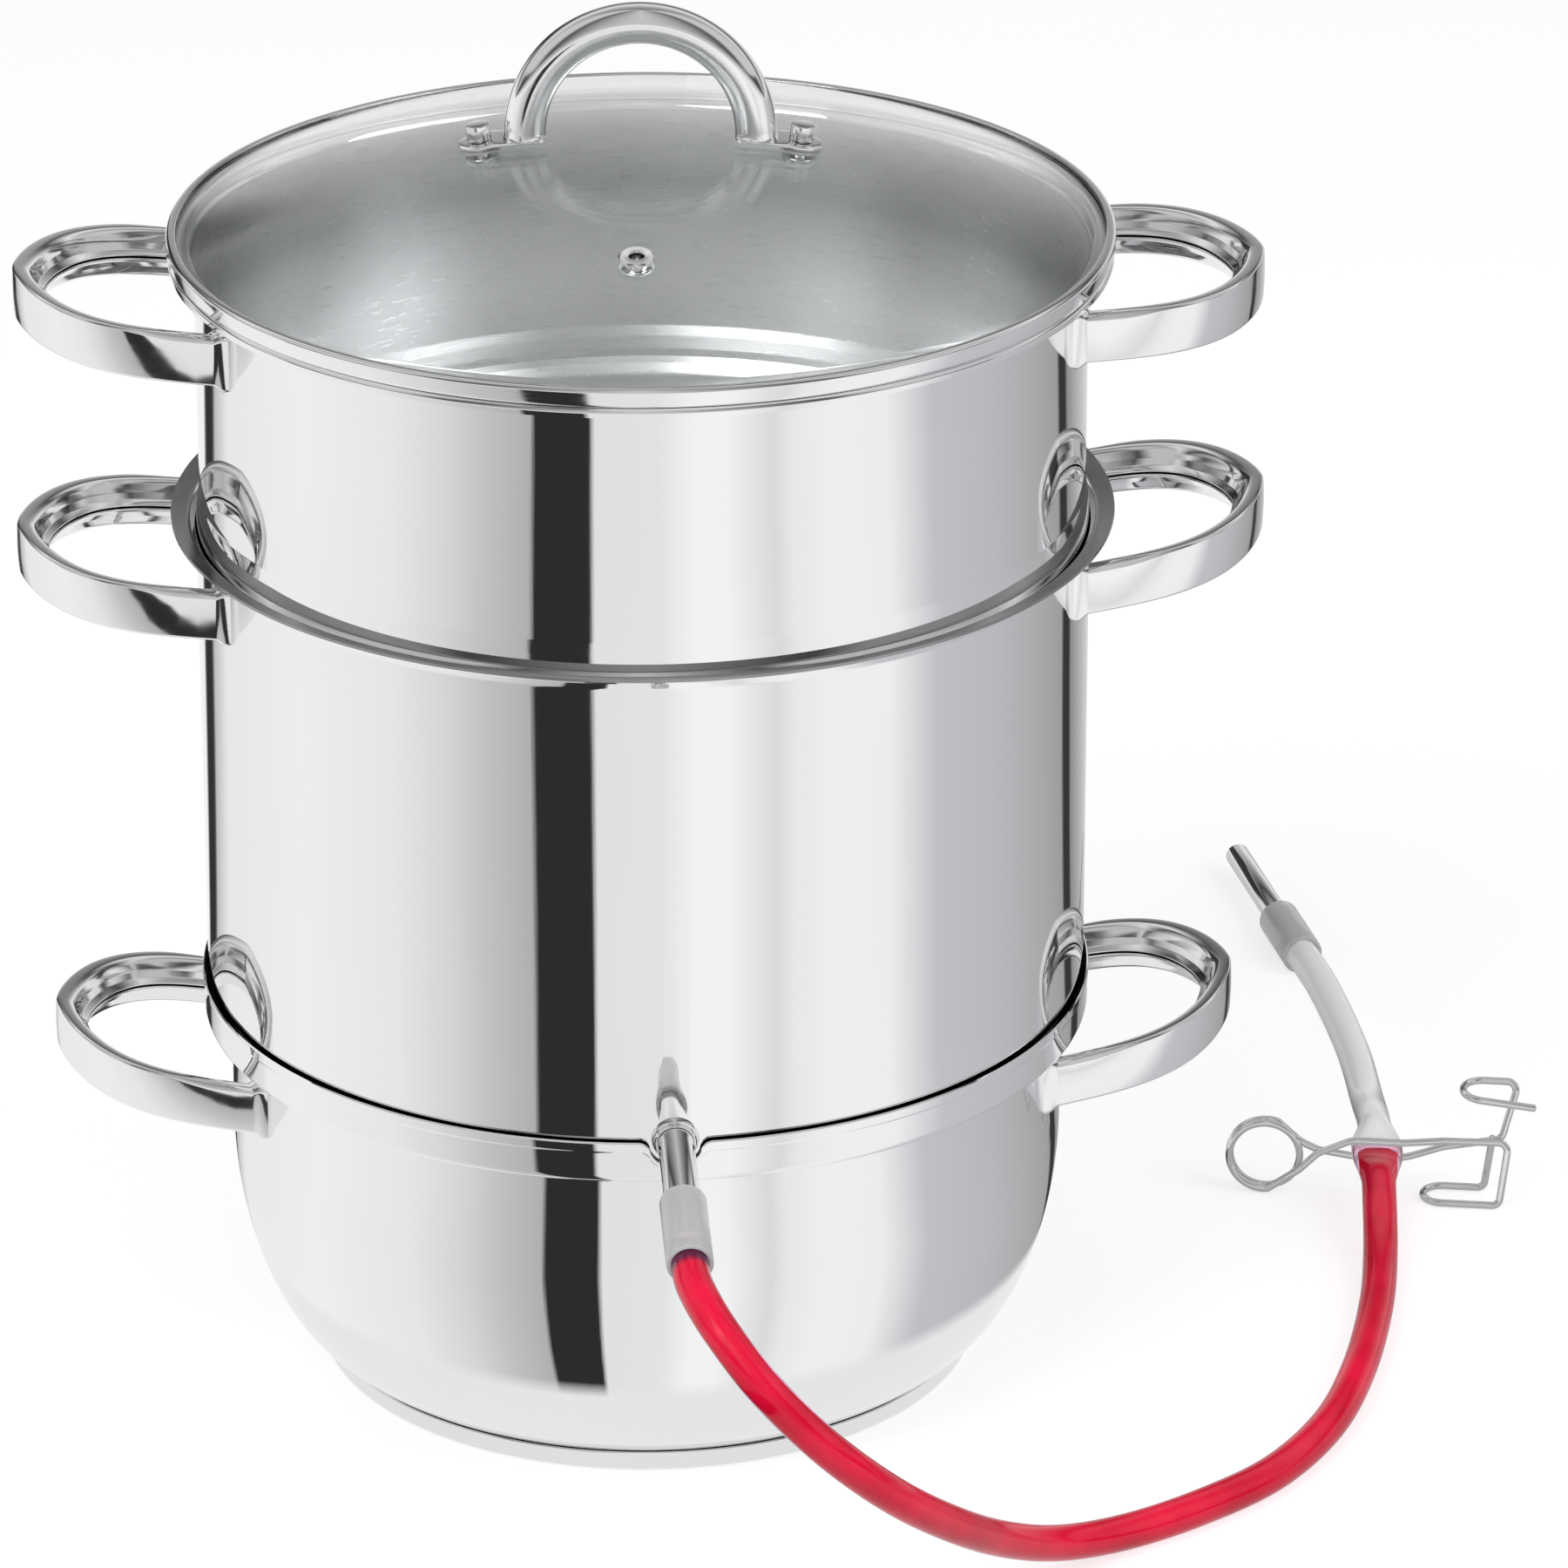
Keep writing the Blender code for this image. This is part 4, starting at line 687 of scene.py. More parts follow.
def juice_red():
    """The juice in the bore, seen through the hose: a deep red, with slow streaks of pinker red. A
    darker purple where it meets the spout, about as far as the sleeve covers it, is painted shade
    under the sleeve."""
    material, tree, where, out = new_material("juice_red")
    red = node(tree, "ShaderNodeValToRGB", {"Fac": mottle(tree, where, 45.0, 3.0, 0.5)})
    reds = (0.35, (0.54, 0.006, 0.040)), (0.70, (0.76, 0.012, 0.070))
    for stop, (share, colour) in zip(red.color_ramp.elements, reds):
        stop.position = share
        stop.color = (*colour, 1.0)
    # Within about a centimetre of the spout the juice is painted darker: painted shade where the sleeve
    # covers the hose.
    from_spout = node(tree, "ShaderNodeVectorMath", {0: where, 1: HOSE_ROUTE[0]}, operation="DISTANCE")
    dark = ranged(tree, from_spout.outputs["Value"], (0.0095, 0.0125), (1.0, 0.0))
    shader = node(tree, "ShaderNodeBsdfPrincipled", {
        "Base Color": colour_between(tree, dark, red.outputs[0], (0.10, 0.012, 0.06)),
        "Roughness": 0.50, "IOR": 1.36, "Specular IOR Level": 0.0,
    })
    tree.links.new(shader.outputs[0], out)
    return material


def joined(name, *meshes):
    """Separate closed shells as one mesh, each with the material of its own number."""
    shape = bmesh.new()
    for number, mesh in enumerate(meshes):
        count = len(shape.faces)
        shape.from_mesh(mesh)
        shape.faces.ensure_lookup_table()
        for face in shape.faces[count:]:
            face.material_index = number
    together = bpy.data.meshes.new(name)
    shape.to_mesh(together)
    shape.free()
    together.shade_smooth()
    return together


hose = fitted(
    "silicone_hose", joined("silicone_hose", hose_mesh, juice_mesh), hose_silicone(), "kettle",
    "juice_hose", "hose_from_spout", "hose_pinched_part", "hose_to_nozzle",
)
hose.data.materials.append(juice_red())
hose.visible_glossy = False


# Filling nozzle. A thin steel tube, both ends deburred, pushed into a stepped soft sleeve that
# grips the hose's far end.
def end_place():
    """Frame at the hose's far end: Z along the level direction of its last stretch."""
    run = HOSE_ROUTE[-1] - HOSE_ROUTE[-2]
    run[2] = 0.0
    run /= np.linalg.norm(run)
    place = np.eye(4)
    place[:3, 2] = run
    place[:3, 1] = (0.0, 0.0, 1.0)
    place[:3, 0] = np.cross(place[:3, 1], run)
    place[:3, 3] = HOSE_ROUTE[-1]
    return place


nozzle_sleeve_profile = rounded([
    (SLEEVE_RADIUS, 0.0220, 0.0006), (SLEEVE_RADIUS, -0.0080, 0.0006),
    (0.0056, -0.0080, 0.0002), (0.0056, 0.0003, 0.0), (0.0042, 0.0003, 0.0),
    (0.0042, 0.0220, 0.0002),
], steps=4, closed=True)
nozzle_sleeve = fitted(
    "nozzle_soft_sleeve", turned("nozzle_soft_sleeve", nozzle_sleeve_profile, 64, end_place()),
    sleeve_silicone, "kettle", "frosted_sleeve", "nozzle_sleeve",
)
NOZZLE_RADIUS = 0.0040
NOZZLE_BORE = NOZZLE_RADIUS - PIPE_WALL
nozzle_profile = rounded([
    (NOZZLE_RADIUS, 0.0040, 0.0003), (NOZZLE_RADIUS, 0.0760, 0.0003),
    (NOZZLE_BORE, 0.0760, 0.0003), (NOZZLE_BORE, 0.0040, 0.0003),
], steps=3, closed=True)
nozzle_steel = steel(
    "nozzle_steel", grain=(400.0, 30.0, 400.0), grain_depth=0.000004, gloss=(0.04, 0.09),
)
nozzle = fitted("nozzle_pipe", turned("nozzle_pipe", nozzle_profile, 64, end_place()), nozzle_steel,
                "kettle", "polished_steel", "filling_nozzle")


# Pinch clamp. One polished spring wire: a coil of a turn and a half, two arms that cross and squeeze
# the hose between them, and a finger loop bent at the end of each. Squeezing the loops opens it.
WIRE = 0.00115
WIRE_SIDES = 18
SLANT = (0.3, -0.7, 0.65)
COIL = 0.01095
COIL_HALF = 0.0021
COIL_Z = WIRE + COIL
CLAMP_TURN = math.radians(-11.0)
CLAMP_PLACE = (0.19764, 0.07668, 0.0)
wire_steel = steel(
    "wire_steel", grain=(200.0, 200.0, 200.0), grain_depth=0.000003, gloss=(0.08, 0.16),
    tone=(0.90, 0.90, 0.905), worn=(0.84, 0.84, 0.85),
)


def turned_place(angle, middle=(0.0, 0.0, 0.0)):
    """Frame turned about Z by an angle, and set on a point."""
    place = np.eye(4)
    place[:2, :2] = [[math.cos(angle), -math.sin(angle)], [math.sin(angle), math.cos(angle)]]
    place[:3, 3] = middle
    return place


def wire(name, path):
    """A round tube along a path, with low domed ends. Each ring lies square to the path, turned by
    a fixed slanting direction that the path never runs along."""
    run = unit(np.gradient(path, axis=0))
    dome = np.linspace(math.pi / 2, 0.0, 6)[:-1]
    tips = path[0] - run[0] * WIRE * np.sin(dome)[:, None] * 0.5
    tails = path[-1] + run[-1] * WIRE * np.sin(dome[::-1])[:, None] * 0.5
    middles = np.vstack([tips, path, tails])
    radii = np.concatenate([np.cos(dome), np.ones(len(path)), np.cos(dome[::-1])]) * WIRE
    runs = np.vstack([np.repeat(run[:1], len(dome), 0), run, np.repeat(run[-1:], len(dome), 0)])
    first = unit(np.cross(runs, SLANT))
    second = np.cross(runs, first)
    turn = round_angles(WIRE_SIDES)[:, None]
    ring = first[:, None] * np.cos(turn) + second[:, None] * np.sin(turn)
    tube = middles[:, None] + ring * radii[:, None, None]
    return surface(name, placed(tube, turned_place(CLAMP_TURN, CLAMP_PLACE)))


coil_turn = -math.pi / 2 - 3 * math.pi * np.linspace(1.0, 0.0, 120)
coil_path = np.stack([
    COIL * np.cos(coil_turn), COIL_HALF * np.linspace(1.0, -1.0, 120), COIL_Z + COIL * np.sin(coil_turn),
], -1)
fixed_path = rounded([
    (*(coil_path[-1] + (WIRE, 0.0, 0.0)), 0.0),
    (0.01095, -0.0027, 0.00849, 0.008), (0.0165, -0.0014, 0.0138, 0.008),
    (0.0270, -0.0014, 0.01875, 0.008), (0.0430, -0.0014, 0.01875, 0.020),
    (0.0554, -0.0014, 0.020125, 0.020), (0.0758, -0.0014, 0.0205, 0.0028),
    (0.0735, -0.00625, 0.00115, 0.0024), (0.049675, -0.00625, 0.00115, 0.0062),
    (0.049675, 0.00625, 0.00115, 0.0062), (0.0683, 0.00625, 0.00115, 0.0024),
    (0.0706, 0.0051, 0.0192, 0.0),
], steps=10)
fixed_arm = fitted("clamp_coil_arm", wire("clamp_coil_arm", np.vstack([coil_path, fixed_path])),
                   wire_steel, "kettle", "polished_steel", "clamp_fixed_arm")
top_turn = np.linspace(0.0, 0.34, 8)
top_path = np.stack([
    0.0003 + COIL * np.sin(top_turn), np.full(8, COIL_HALF), COIL_Z + COIL * np.cos(top_turn),
], -1)
swing_path = rounded([
    (*top_path[-1], 0.0),
    (0.01095, 0.0027, 0.01571, 0.008), (0.0165, 0.0014, 0.0138, 0.008),
    (0.0270, 0.0014, 0.01225, 0.008), (0.0430, 0.0014, 0.01225, 0.020),
    (0.0554, 0.0014, 0.016875, 0.020), (0.0735, 0.0014, 0.0205, 0.0028),
    (0.0781, 0.0074, 0.0375, 0.0028), (0.061175, 0.0074, 0.0375, 0.0062),
    (0.061175, -0.00625, 0.0375, 0.0062), (0.08347, -0.00625, 0.0352, 0.0),
], steps=10)
swing_arm = fitted("clamp_free_arm", wire("clamp_free_arm", np.vstack([top_path[:-1], swing_path])),
                   wire_steel, "clamp_arm", "polished_steel", "clamp_swing_arm")


# Fruit basket. A drawn steel bowl with a punched floor for steam and juice. Its rim is rolled
# outwards for the lid, and a bead round its wall sits in the kettle's throat.
BASKET_WALL = 0.0008
BASKET_FLOOR = 0.2222
BASKET_SATIN_TOP = 0.3440
HOLE_RADIUS = 0.0022
HOLE_SIDES = 14
HOLE_RINGS = 10
RING_STEP = 0.00925
basket_outer = rounded([
    (0.1352, 0.3441, 0.0), (0.1352, 0.3460, 0.0009), (BASKET_RADIUS, 0.3460, 0.0022),
    (BASKET_RADIUS, 0.2745, 0.0030), (0.1295, 0.2708, 0.0030), (0.1299, 0.2664, 0.0008),
    (0.12989, 0.26383, 0.0006), (0.12899, 0.26173, 0.0008), (0.12709, 0.25873, 0.0030),
    (0.12709, BASKET_FLOOR, 0.0080), (0.0, BASKET_FLOOR, 0.0),
])


def sieve_posts():
    """Rings of short posts, six more in each ring: the holes' cutter as one mesh."""
    ring = np.arange(1, HOLE_RINGS + 1)
    count = 6 * ring
    number = np.repeat(ring, count)
    step = np.concatenate([np.arange(n) for n in count])
    angle = 2 * math.pi * step / (6 * number)
    centre = np.stack([np.cos(angle), np.sin(angle)], -1) * (RING_STEP * number)[:, None]
    turn = round_angles(HOLE_SIDES)
    rim = np.stack([np.cos(turn), np.sin(turn)], -1) * HOLE_RADIUS
    ends = [BASKET_FLOOR - 0.002, BASKET_FLOOR + 0.003]
    flat = centre[:, None] + rim
    points = np.stack([np.dstack([flat, np.full(flat.shape[:2], end)]) for end in ends], 1)
    start = np.arange(len(centre))[:, None] * 2 * HOLE_SIDES
    low = start + np.arange(HOLE_SIDES)
    high = low + HOLE_SIDES
    sides = np.stack([low, np.roll(low, -1, 1), np.roll(high, -1, 1), high], -1).reshape(-1, 4)
    mesh = bpy.data.meshes.new("sieve_posts")
    faces = [*sides.tolist(), *low[:, ::-1].tolist(), *high.tolist()]
    mesh.from_pydata(points.reshape(-1, 3).tolist(), [], faces)
    return mesh


basket_mesh = bored(turned("basket_shell", sheet(basket_outer, BASKET_WALL)), [sieve_posts()])
fitted("basket_shell", basket_mesh, wall_steel, "basket", "polished_steel", "fruit_basket")
satin_inside(basket_mesh, BASKET_SATIN_TOP)


# Lid. A shallow dome of toughened glass, bored for the handle's studs and the steam vent, in a
# rolled steel ring that guards its edge. The ring's lower lip is butt-welded.
LID_TURN = math.radians(-4.5)
GLASS_TOP = 0.3516
GLASS_WALL = 0.0035
GLASS_RADIUS = 0.1355
DOME_RISE = 0.0259
DOME_SPHERE = 0.35701


def dome_height(radius):
    """Upper face of the glass: a cap of a sphere."""
    return GLASS_TOP + DOME_RISE - DOME_SPHERE + np.sqrt(DOME_SPHERE ** 2 - radius ** 2)


def dome_place(radius, bearing):
    """Frame square to the glass at a distance and bearing from the lid's middle."""
    tilt = math.asin(radius / DOME_SPHERE)
    turn = bearing + LID_TURN
    ahead = np.array([math.cos(turn), math.sin(turn), 0.0])
    up = np.array([0.0, 0.0, 1.0])
    place = np.eye(4)
    place[:3, 0] = ahead * math.cos(tilt) - up * math.sin(tilt)
    place[:3, 1] = (-math.sin(turn), math.cos(turn), 0.0)
    place[:3, 2] = ahead * math.sin(tilt) + up * math.cos(tilt)
    place[:3, 3] = ahead * radius + up * dome_height(radius)
    return place


def lid_glass():
    """Clear glass with the least green, which lets light through to what is under it."""
    material, tree, where, out = new_material("lid_glass")
    ripple = mottle(tree, where, 22.0, 1.0, 0.4)
    shader = node(tree, "ShaderNodeBsdfPrincipled", {
        "Base Color": (0.97, 0.985, 0.98), "Normal": bump(tree, ripple, 0.00002),
        "Roughness": ranged(tree, ripple, (0.3, 0.7), (0.0, 0.012)),
        "IOR": 1.5, "Transmission Weight": 1.0,
    })
    through = node(tree, "ShaderNodeBsdfTransparent", {"Color": (0.93, 0.95, 0.945)})
    shadow = node(tree, "ShaderNodeLightPath").outputs["Is Shadow Ray"]
    tree.links.new(finish_between(tree, shadow, shader, through).outputs[0], out)
    return material


# The upper face runs out from the middle and the lower one back to it, round the brim's edge.
dome_radii = np.linspace(0.0, 0.1325, 60)
dome = np.stack([dome_radii, dome_height(dome_radii)], -1)
under_turn = np.linspace(math.asin(0.1320 / DOME_SPHERE), 0.0, 60)
under = np.stack([
    (DOME_SPHERE - GLASS_WALL) * np.sin(under_turn),
    dome_height(0.0) - DOME_SPHERE + (DOME_SPHERE - GLASS_WALL) * np.cos(under_turn),
], -1)
edge = rounded([
    (*dome[-1], 0.0), (0.1345, GLASS_TOP, 0.0006), (GLASS_RADIUS, GLASS_TOP, 0.0006),
    (GLASS_RADIUS, GLASS_TOP - GLASS_WALL, 0.0006), (0.1335, GLASS_TOP - GLASS_WALL, 0.0008),
    (*under[0], 0.0),
], steps=5)
glass_mesh = turned("lid_dome", np.vstack([dome[:-1], edge, under[1:]]))
STUD_PLACE = 0.0456
VENT_PLACE = 0.0770
glass_mesh = bored(glass_mesh, [
    post("stud_bore_right", 0.0024, -0.006, 0.003, dome_place(STUD_PLACE, 0.0)),
    post("stud_bore_left", 0.0024, -0.006, 0.003, dome_place(STUD_PLACE, math.pi)),
    post("vent_bore", 0.0036, -0.006, 0.003, dome_place(VENT_PLACE, -math.pi / 2)),
])
fitted("lid_dome", glass_mesh, lid_glass(), "lid", "glass", "lid_glass")

LID_RADIUS = 0.1365
LID_LOW = 0.3471
LID_HIGH = 0.3526
band_profile = rounded([
    (LID_RADIUS - 0.0028, LID_HIGH, 0.0003), (LID_RADIUS, LID_HIGH, 0.0013),
    (LID_RADIUS, LID_LOW, 0.0011), (LID_RADIUS - 0.0063, LID_LOW, 0.0003),
    (LID_RADIUS - 0.0063, LID_LOW + 0.0007, 0.0003), (LID_RADIUS - 0.0007, LID_LOW + 0.0007, 0.0004),
    (LID_RADIUS - 0.0007, LID_HIGH - 0.0007, 0.0004), (LID_RADIUS - 0.0028, LID_HIGH - 0.0007, 0.0003),
], steps=6, closed=True)
band_steel = steel(
    "band_steel", grain=(60.0, 60.0, 1600.0), grain_depth=0.000003, gloss=(0.04, 0.10),
)
fitted("lid_band", turned("lid_band", band_profile, 256), band_steel, "lid", "polished_steel",
       "lid_ring")


# Lid handle. Steel tube bent to a half circle. Each end is pressed flat and turned outwards into a
# round-ended tab, and a stud through the tab and a soft washer clamps it to the glass.
ARCH_RADIUS = 0.0330
ARCH_TUBE = 0.0060
TAB_HALF = 0.0065
TAB_WALL = 0.0016
TAB_END = 0.0520
TAB_LIFT = 0.0016
GRIP_SIDES = 48


def lid_grip():
    """A ribbon of ovals between two lines, the tube's outer and its inner side, from one tab's end
    up round the arch to the other: each oval spans the two lines and is as wide as the tube or
    tab there, and squarer where it is pressed flat."""
    slope = math.tan(math.asin(STUD_PLACE / DOME_SPHERE))
    stud_z = float(dome_height(STUD_PLACE)) + TAB_LIFT

    def tab_z(x):
        return stud_z - slope * (x - STUD_PLACE)

    foot_z = stud_z + TAB_WALL / 2 + ARCH_TUBE / 2
    lean = np.linspace(0.0, math.pi / 2, 36)[1:]
    outside, inside = ARCH_RADIUS + ARCH_TUBE, ARCH_RADIUS - ARCH_TUBE
    tab_x = TAB_END - TAB_HALF * (1 - np.sin(np.linspace(0.0, math.pi / 2, 12)))
    tab_x = tab_x[::-1]
    steps = 16
    upper = rounded([
        (outside + 0.0035, tab_z(outside) + TAB_WALL, 0.0), (outside, tab_z(outside) + TAB_WALL, 0.0016),
        (outside, foot_z - 0.0004, 0.0),
    ], steps=steps)
    lower = rounded([
        (outside + 0.0035, tab_z(outside), 0.0), (inside, tab_z(inside) + 0.0002, 0.0022),
        (inside, foot_z - 0.0004, 0.0),
    ], steps=steps)
    arch = [np.stack([radius * np.cos(lean), foot_z + radius * np.sin(lean)], -1)
            for radius in (outside, inside)]
    tab = [np.stack([tab_x, tab_z(tab_x) + lift], -1) for lift in (TAB_WALL, 0.0)]
    outer = np.vstack([tab[0], upper, arch[0]])
    inner = np.vstack([tab[1], lower, arch[1]])
    wide = np.concatenate([
        TAB_HALF * np.sqrt(np.clip(1 - ((tab_x - (TAB_END - TAB_HALF)) / TAB_HALF) ** 2, 0.0, 1.0)),
        np.linspace(TAB_HALF, ARCH_TUBE, len(upper)), np.full(len(lean), ARCH_TUBE),
    ])
    square = np.concatenate([
        np.full(len(tab_x), 5.0), np.linspace(5.0, 2.0, len(upper)), np.full(len(lean), 2.0),
    ])
    turn = round_angles(GRIP_SIDES)
    power = (2 / square)[:, None]
    cos_part, sin_part = powered(np.cos(turn), power), powered(np.sin(turn), power)
    middle, reach = (outer + inner) / 2, (outer - inner) / 2
    plane = middle[:, None] + reach[:, None] * cos_part[..., None]
    half = np.stack([plane[..., 0], wide[:, None] * sin_part, plane[..., 1]], -1)
    other = half[:-1][::-1].copy()
    other[..., 0] *= -1.0
    grid = np.concatenate([half, other])
    grid = np.concatenate([drawn_in(grid[0]), grid, drawn_in(grid[-1])])
    return surface("lid_grip", placed(grid, turned_place(LID_TURN)))


fitted("lid_grip", lid_grip(), grip_steel, "lid", "polished_steel", "lid_handle")

stud_profile = rounded([
    (0.0, 0.0080, 0.0), (0.0035, 0.0080, 0.0003), (0.0035, 0.0035, 0.0002), (0.0021, 0.0035, 0.0),
    (0.0021, -0.0038, 0.0), (0.0050, -0.0038, 0.0003), (0.0047, -0.0056, 0.0006), (0.0, -0.0056, 0.0),
], steps=4)
washer_profile = rounded([
    (0.0060, 0.0013, 0.0003), (0.0060, 0.0003, 0.0003), (0.0024, 0.0003, 0.0001),
    (0.0024, 0.0013, 0.0001),
], steps=4, closed=True)
stud_steel = steel(
    "stud_steel", grain=(500.0, 500.0, 60.0), grain_depth=0.000004, gloss=(0.08, 0.16),
)
washer_silicone = soft_silicone(
    "washer_silicone", (0.82, 0.83, 0.83), clear=0.75, gloss=(0.15, 0.25), speckle=0.000003,
)
for word, bearing in (("left", math.pi), ("right", 0.0)):
    place = dome_place(STUD_PLACE, bearing)
    fitted(f"stud_{word}", turned(f"stud_{word}", stud_profile, 48, place), stud_steel, "lid",
           "polished_steel", f"lid_stud_{word}")
    fitted(f"washer_{word}", turned(f"washer_{word}", washer_profile, 64, place), washer_silicone,
           "lid", "clear_silicone", f"lid_washer_{word}")


# Steam vent. A steel eyelet rolled over both faces of the glass, with the steam hole through it.
eyelet_profile = rounded([
    (0.0021, 0.0013, 0.0005), (0.0046, 0.0015, 0.0006), (0.0056, 0.0003, 0.0004),
    (0.0033, 0.0003, 0.0), (0.0033, -0.0038, 0.0), (0.0056, -0.0038, 0.0004),
    (0.0046, -0.0048, 0.0006), (0.0021, -0.0048, 0.0005),
], steps=5, closed=True)
fitted("vent_ring", turned("vent_ring", eyelet_profile, 64, dome_place(VENT_PLACE, -math.pi / 2)),
       stud_steel, "lid", "polished_steel", "vent_eyelet")


# Studio. A wide pale floor under an even sky. Polished steel shows the floor in front of it, so for
# reflections alone the floor carries the broad light and dark panels of a product table, laid out
# by direction round the object, and the sky a dark ceiling panel over the camera.
CAMERA_TURN = math.radians(-4.5)
CAMERA_LIFT = math.radians(23.22)
CAMERA_FAR = 2.6055
CAMERA_LENS = 202.7
AIM_ACROSS = 0.04105
AIM_HEIGHT = 0.17711
WHITE = (1.0, 1.0, 1.0)
# Direction on the floor in degrees from the camera's, brightness, and a 1 where it is violet.
TABLE_PANELS = (
    (-180, 0.93), (-149.6, 0.93), (-148.8, 0.035), (-140.8, 0.035), (-139.6, 0.52), (-130, 0.89),
    (-95, 0.96), (-66, 0.89), (-50, 0.74), (-40, 0.60), (-27.4, 0.48), (-26.9, 0.028),
    (-12.2, 0.028), (-11.7, 0.84), (5, 0.86), (14, 1.0), (22, 1.0), (34.8, 0.78), (39.5, 0.90),
    (50, 0.97), (66, 0.95), (80, 0.60, 1), (100, 0.545, 1), (122, 0.43), (132.9, 0.36),
    (133.6, 0.04), (138, 0.04), (139.2, 0.29), (152, 0.55), (180, 1.0),
)


def panel_ramp(tree, place, stops, span, start=0.0):
    """A ramp of grey levels by degrees, each degrees / span + start of the way along it. A third
    number in a stop makes its grey a little violet."""
    ramp = node(tree, "ShaderNodeValToRGB", {"Fac": place})
    elements = ramp.color_ramp.elements
    for degrees, level, *tint in stops:
        share = degrees / span + start
        stop = elements[-int(share)] if share in (0.0, 1.0) else elements.new(share)
        violet = sum(tint)
        stop.color = (level, level * (1 - 0.018 * violet), level * (1 + 0.035 * violet), 1.0)
    return ramp.outputs[0]


def studio_floor():
    """The floor's finish. Mirrors see the table's panels, and a plain grey round the object's
    foot. The camera sees white that keeps the shadow, and all other light a plain pale grey."""
    material, tree, where, out = new_material("studio_floor")
    facing = node(tree, "ShaderNodeMapping", {
        "Vector": where, "Rotation": (0.0, 0.0, math.pi / 2 - CAMERA_TURN),
        "Location": (-0.0615, 0.0, 0.0),
    })
    bearing = node(tree, "ShaderNodeTexGradient", {"Vector": facing.outputs[0]}, gradient_type="RADIAL")
    panels = panel_ramp(tree, bearing.outputs["Fac"], TABLE_PANELS, 360, 0.5)
    away = node(tree, "ShaderNodeVectorMath", {0: where}, operation="LENGTH")
    beyond = ranged(tree, away.outputs["Value"], (0.132, 0.142), (0.0, 1.0))
    laid = colour_between(tree, beyond, (0.88, 0.88, 0.88), panels)
    table = node(tree, "ShaderNodeEmission", {"Color": laid})
    pale = node(tree, "ShaderNodeEmission", {"Strength": 0.70})
    lit = node(tree, "ShaderNodeBsdfDiffuse", {"Color": (0.38, 0.38, 0.38)})
    seen = node(tree, "ShaderNodeAddShader", {0: pale.outputs[0], 1: lit.outputs[0]})
    plain = node(tree, "ShaderNodeBsdfDiffuse", {"Color": (0.80, 0.80, 0.80)})
    ray = node(tree, "ShaderNodeLightPath").outputs
    direct = worked_out(tree, "MAXIMUM", ray["Is Camera Ray"], ray["Is Transmission Ray"])
    mirrored = finish_between(tree, ray["Is Glossy Ray"], plain, table)
    tree.links.new(finish_between(tree, direct, mirrored, seen).outputs[0], out)
    return material


floor_mesh = bpy.data.meshes.new("floor")
floor_mesh.from_pydata([(-40, -40, 0), (40, -40, 0), (40, 40, 0), (-40, 40, 0)], [], [(0, 1, 2, 3)])
floor = in_scene("floor", floor_mesh)
floor_mesh.materials.append(studio_floor())
floor.location.z = -0.0002

world = bpy.data.worlds.new("studio_sky")
world.use_nodes = True
sky = world.node_tree
sky.nodes.clear()
direction = node(sky, "ShaderNodeTexCoord").outputs["Generated"]
turned_sky = node(sky, "ShaderNodeMapping", {
    "Vector": direction, "Rotation": (0.0, 0.0, -math.pi / 2 - CAMERA_TURN),
}, vector_type="POINT")
parts = node(sky, "ShaderNodeSeparateXYZ", {"Vector": turned_sky.outputs[0]}).outputs


def half_turns(side, ahead):
    """The angle of a direction in one plane, as a share of a half turn."""
    angle = worked_out(sky, "ARCTAN2", parts[side], parts[ahead])
    return worked_out(sky, "DIVIDE", angle, math.pi)


# Degrees over the top from the horizon behind the object to the one behind the camera: light at
# both, a dark band low down at the back with a light one over it, and dark overhead.
ceiling = panel_ramp(sky, half_turns("Z", "X"), (
    (0, 0.95), (29, 0.055), (48, 0.84), (66, 0.44), (84, 0.22), (107, 0.12), (128, 0.09),
    (138, 0.075), (157, 0.05), (180, 1.0),
), 180)
# Degrees to the left of straight behind the object: a dark screen that stands there.
screen = panel_ramp(sky, half_turns("Y", "X"), (
    (0, 1.0), (14, 1.0), (17, 0.07), (40, 0.07), (44, 1.0), (180, 1.0),
), 180)
low = ranged(sky, parts["Z"], (0.32, 0.36), (1.0, 0.0))
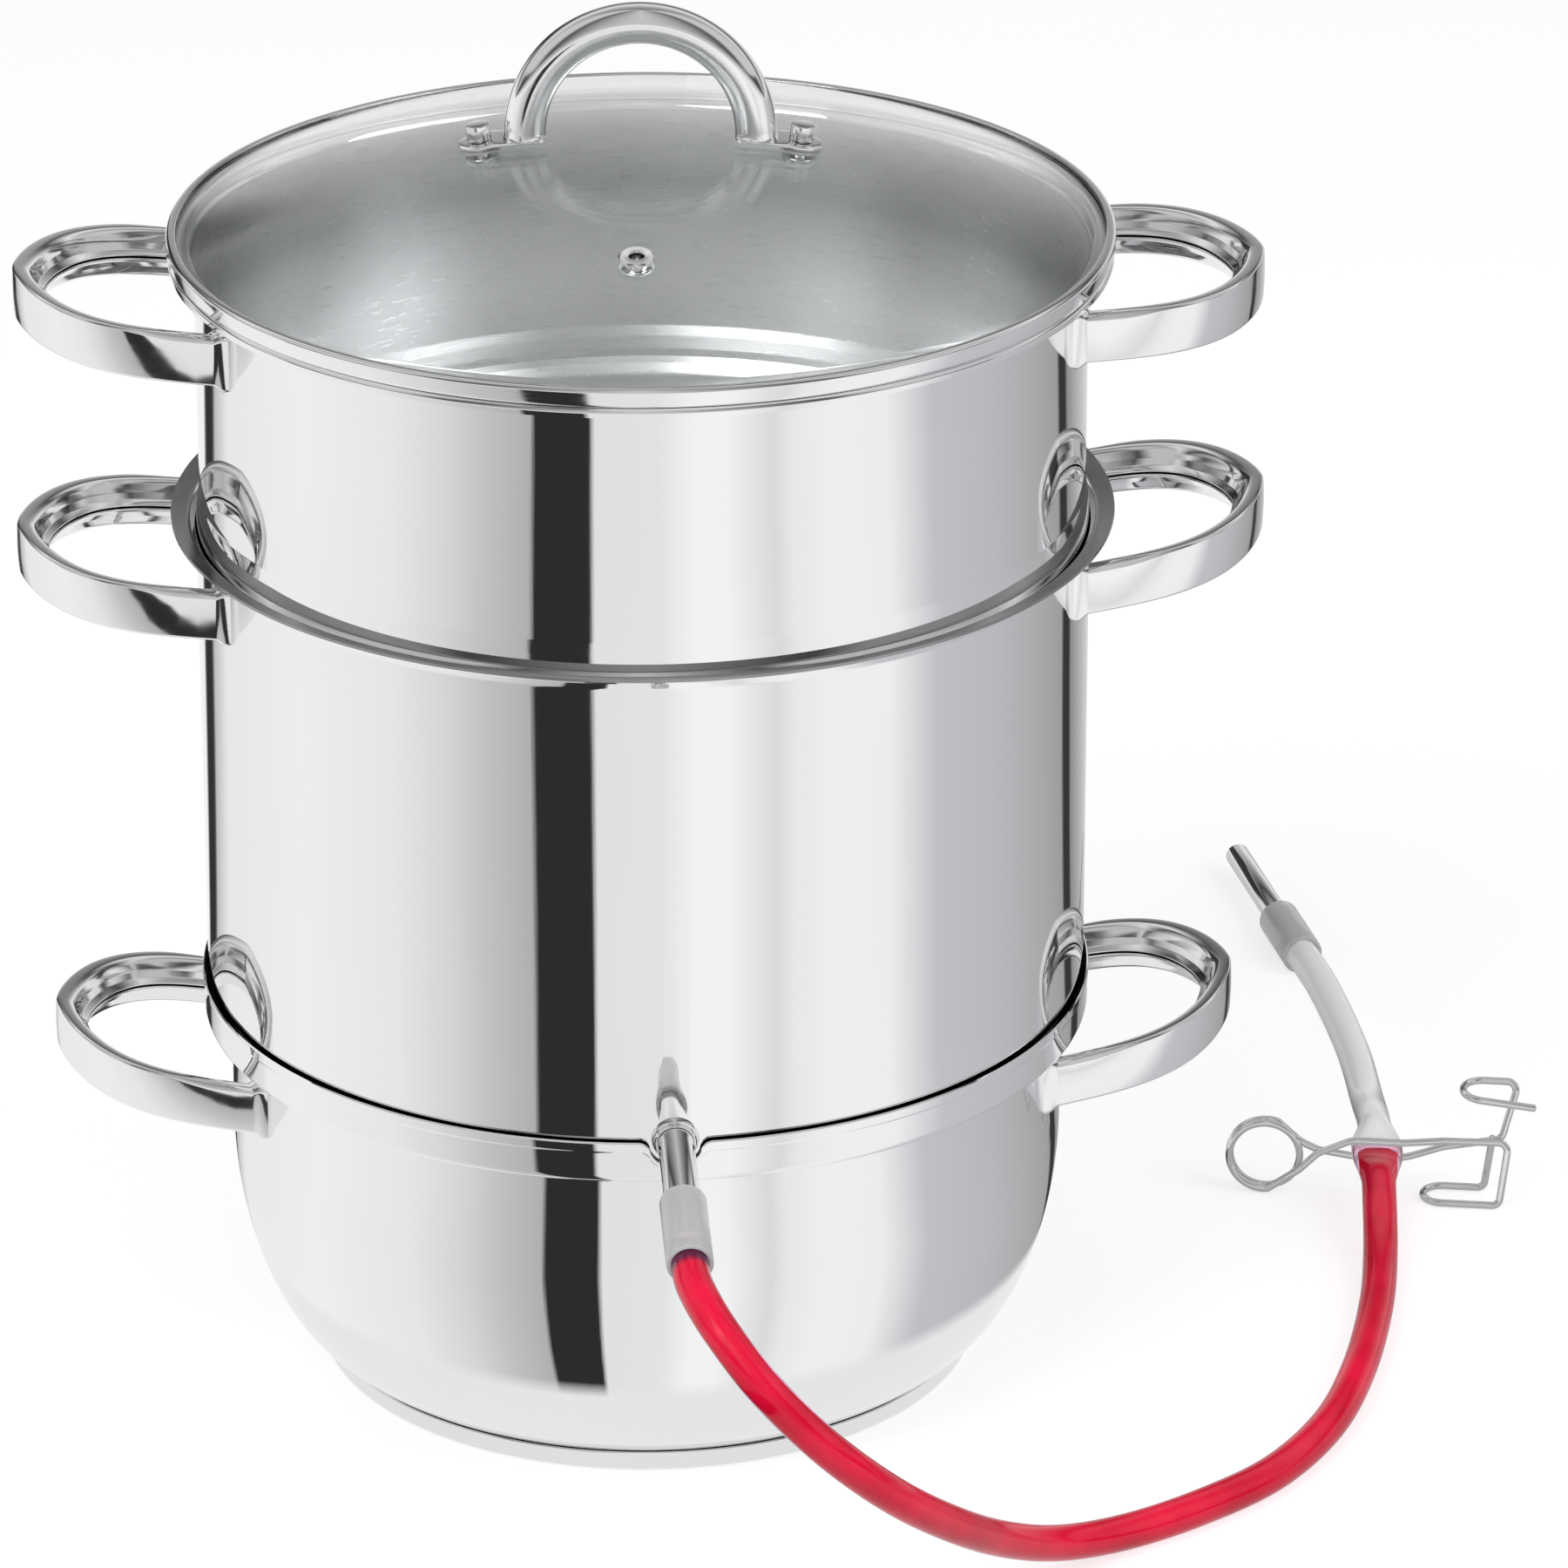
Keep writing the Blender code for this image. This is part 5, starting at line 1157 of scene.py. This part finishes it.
# Degrees to either side from straight behind the object: how far the ceiling gives way there to
# open sky, which is at the sides and behind the camera, and not down by the horizon.
beside = panel_ramp(sky, worked_out(sky, "ABSOLUTE", half_turns("Y", "X")), (
    (0, 0.0), (60, 0.0), (85, 1.0), (116, 1.0), (132, 0.0), (180, 1.0),
), 180)
above = ranged(sky, parts["Z"], (0.20, 0.24), (0.0, 1.0))
open_sky = worked_out(sky, "MULTIPLY", beside, above)
overhead = colour_between(sky, open_sky, ceiling, (0.62, 0.62, 0.62))
screened = colour_between(sky, low, overhead, screen, blend_type="MULTIPLY")
mirror_sky = node(sky, "ShaderNodeBackground", {"Color": screened})
plain_sky = node(sky, "ShaderNodeBackground", {"Color": WHITE, "Strength": 0.55})
white_sky = node(sky, "ShaderNodeBackground", {"Color": WHITE})
ray = node(sky, "ShaderNodeLightPath").outputs
shiny_sky = finish_between(sky, ray["Is Glossy Ray"], plain_sky, mirror_sky)
shown_sky = finish_between(sky, ray["Is Camera Ray"], shiny_sky, white_sky)
sky.links.new(shown_sky.outputs[0], sky.nodes.new("ShaderNodeOutputWorld").inputs[0])
bpy.context.scene.world = world


def softbox(name, place, aim, size, power):
    """A large square lamp aimed at a point, which mirrors don't show."""
    lamp = bpy.data.lights.new(name, "AREA")
    lamp.size = size
    lamp.energy = power
    item = in_scene(name, lamp)
    item.location = place
    item.rotation_mode = "QUATERNION"
    item.rotation_quaternion = (Vector(aim) - Vector(place)).to_track_quat("-Z", "Y")
    item.visible_glossy = False


softbox("key_lamp", (-1.1, -1.3, 1.7), (0.0, 0.0, 0.15), 1.2, 26.0)
softbox("fill_lamp", (1.4, -0.7, 1.2), (0.1, 0.0, 0.10), 1.2, 12.0)

camera_data = bpy.data.cameras.new("camera")
camera_data.lens = CAMERA_LENS
camera_data.sensor_width = 36.0
camera_data.clip_start = 0.1
camera_data.clip_end = 200.0
camera = in_scene("camera", camera_data)
right = Vector((math.cos(CAMERA_TURN), math.sin(CAMERA_TURN), 0.0))
backwards = Vector((
    math.sin(CAMERA_TURN) * math.cos(CAMERA_LIFT), -math.cos(CAMERA_TURN) * math.cos(CAMERA_LIFT),
    math.sin(CAMERA_LIFT),
))
camera.location = right * AIM_ACROSS + Vector((0.0, 0.0, AIM_HEIGHT)) + backwards * CAMERA_FAR
camera.rotation_mode = "QUATERNION"
camera.rotation_quaternion = (-backwards).to_track_quat("-Z", "Y")
bpy.context.scene.camera = camera
bpy.context.scene.view_settings.view_transform = "Standard"
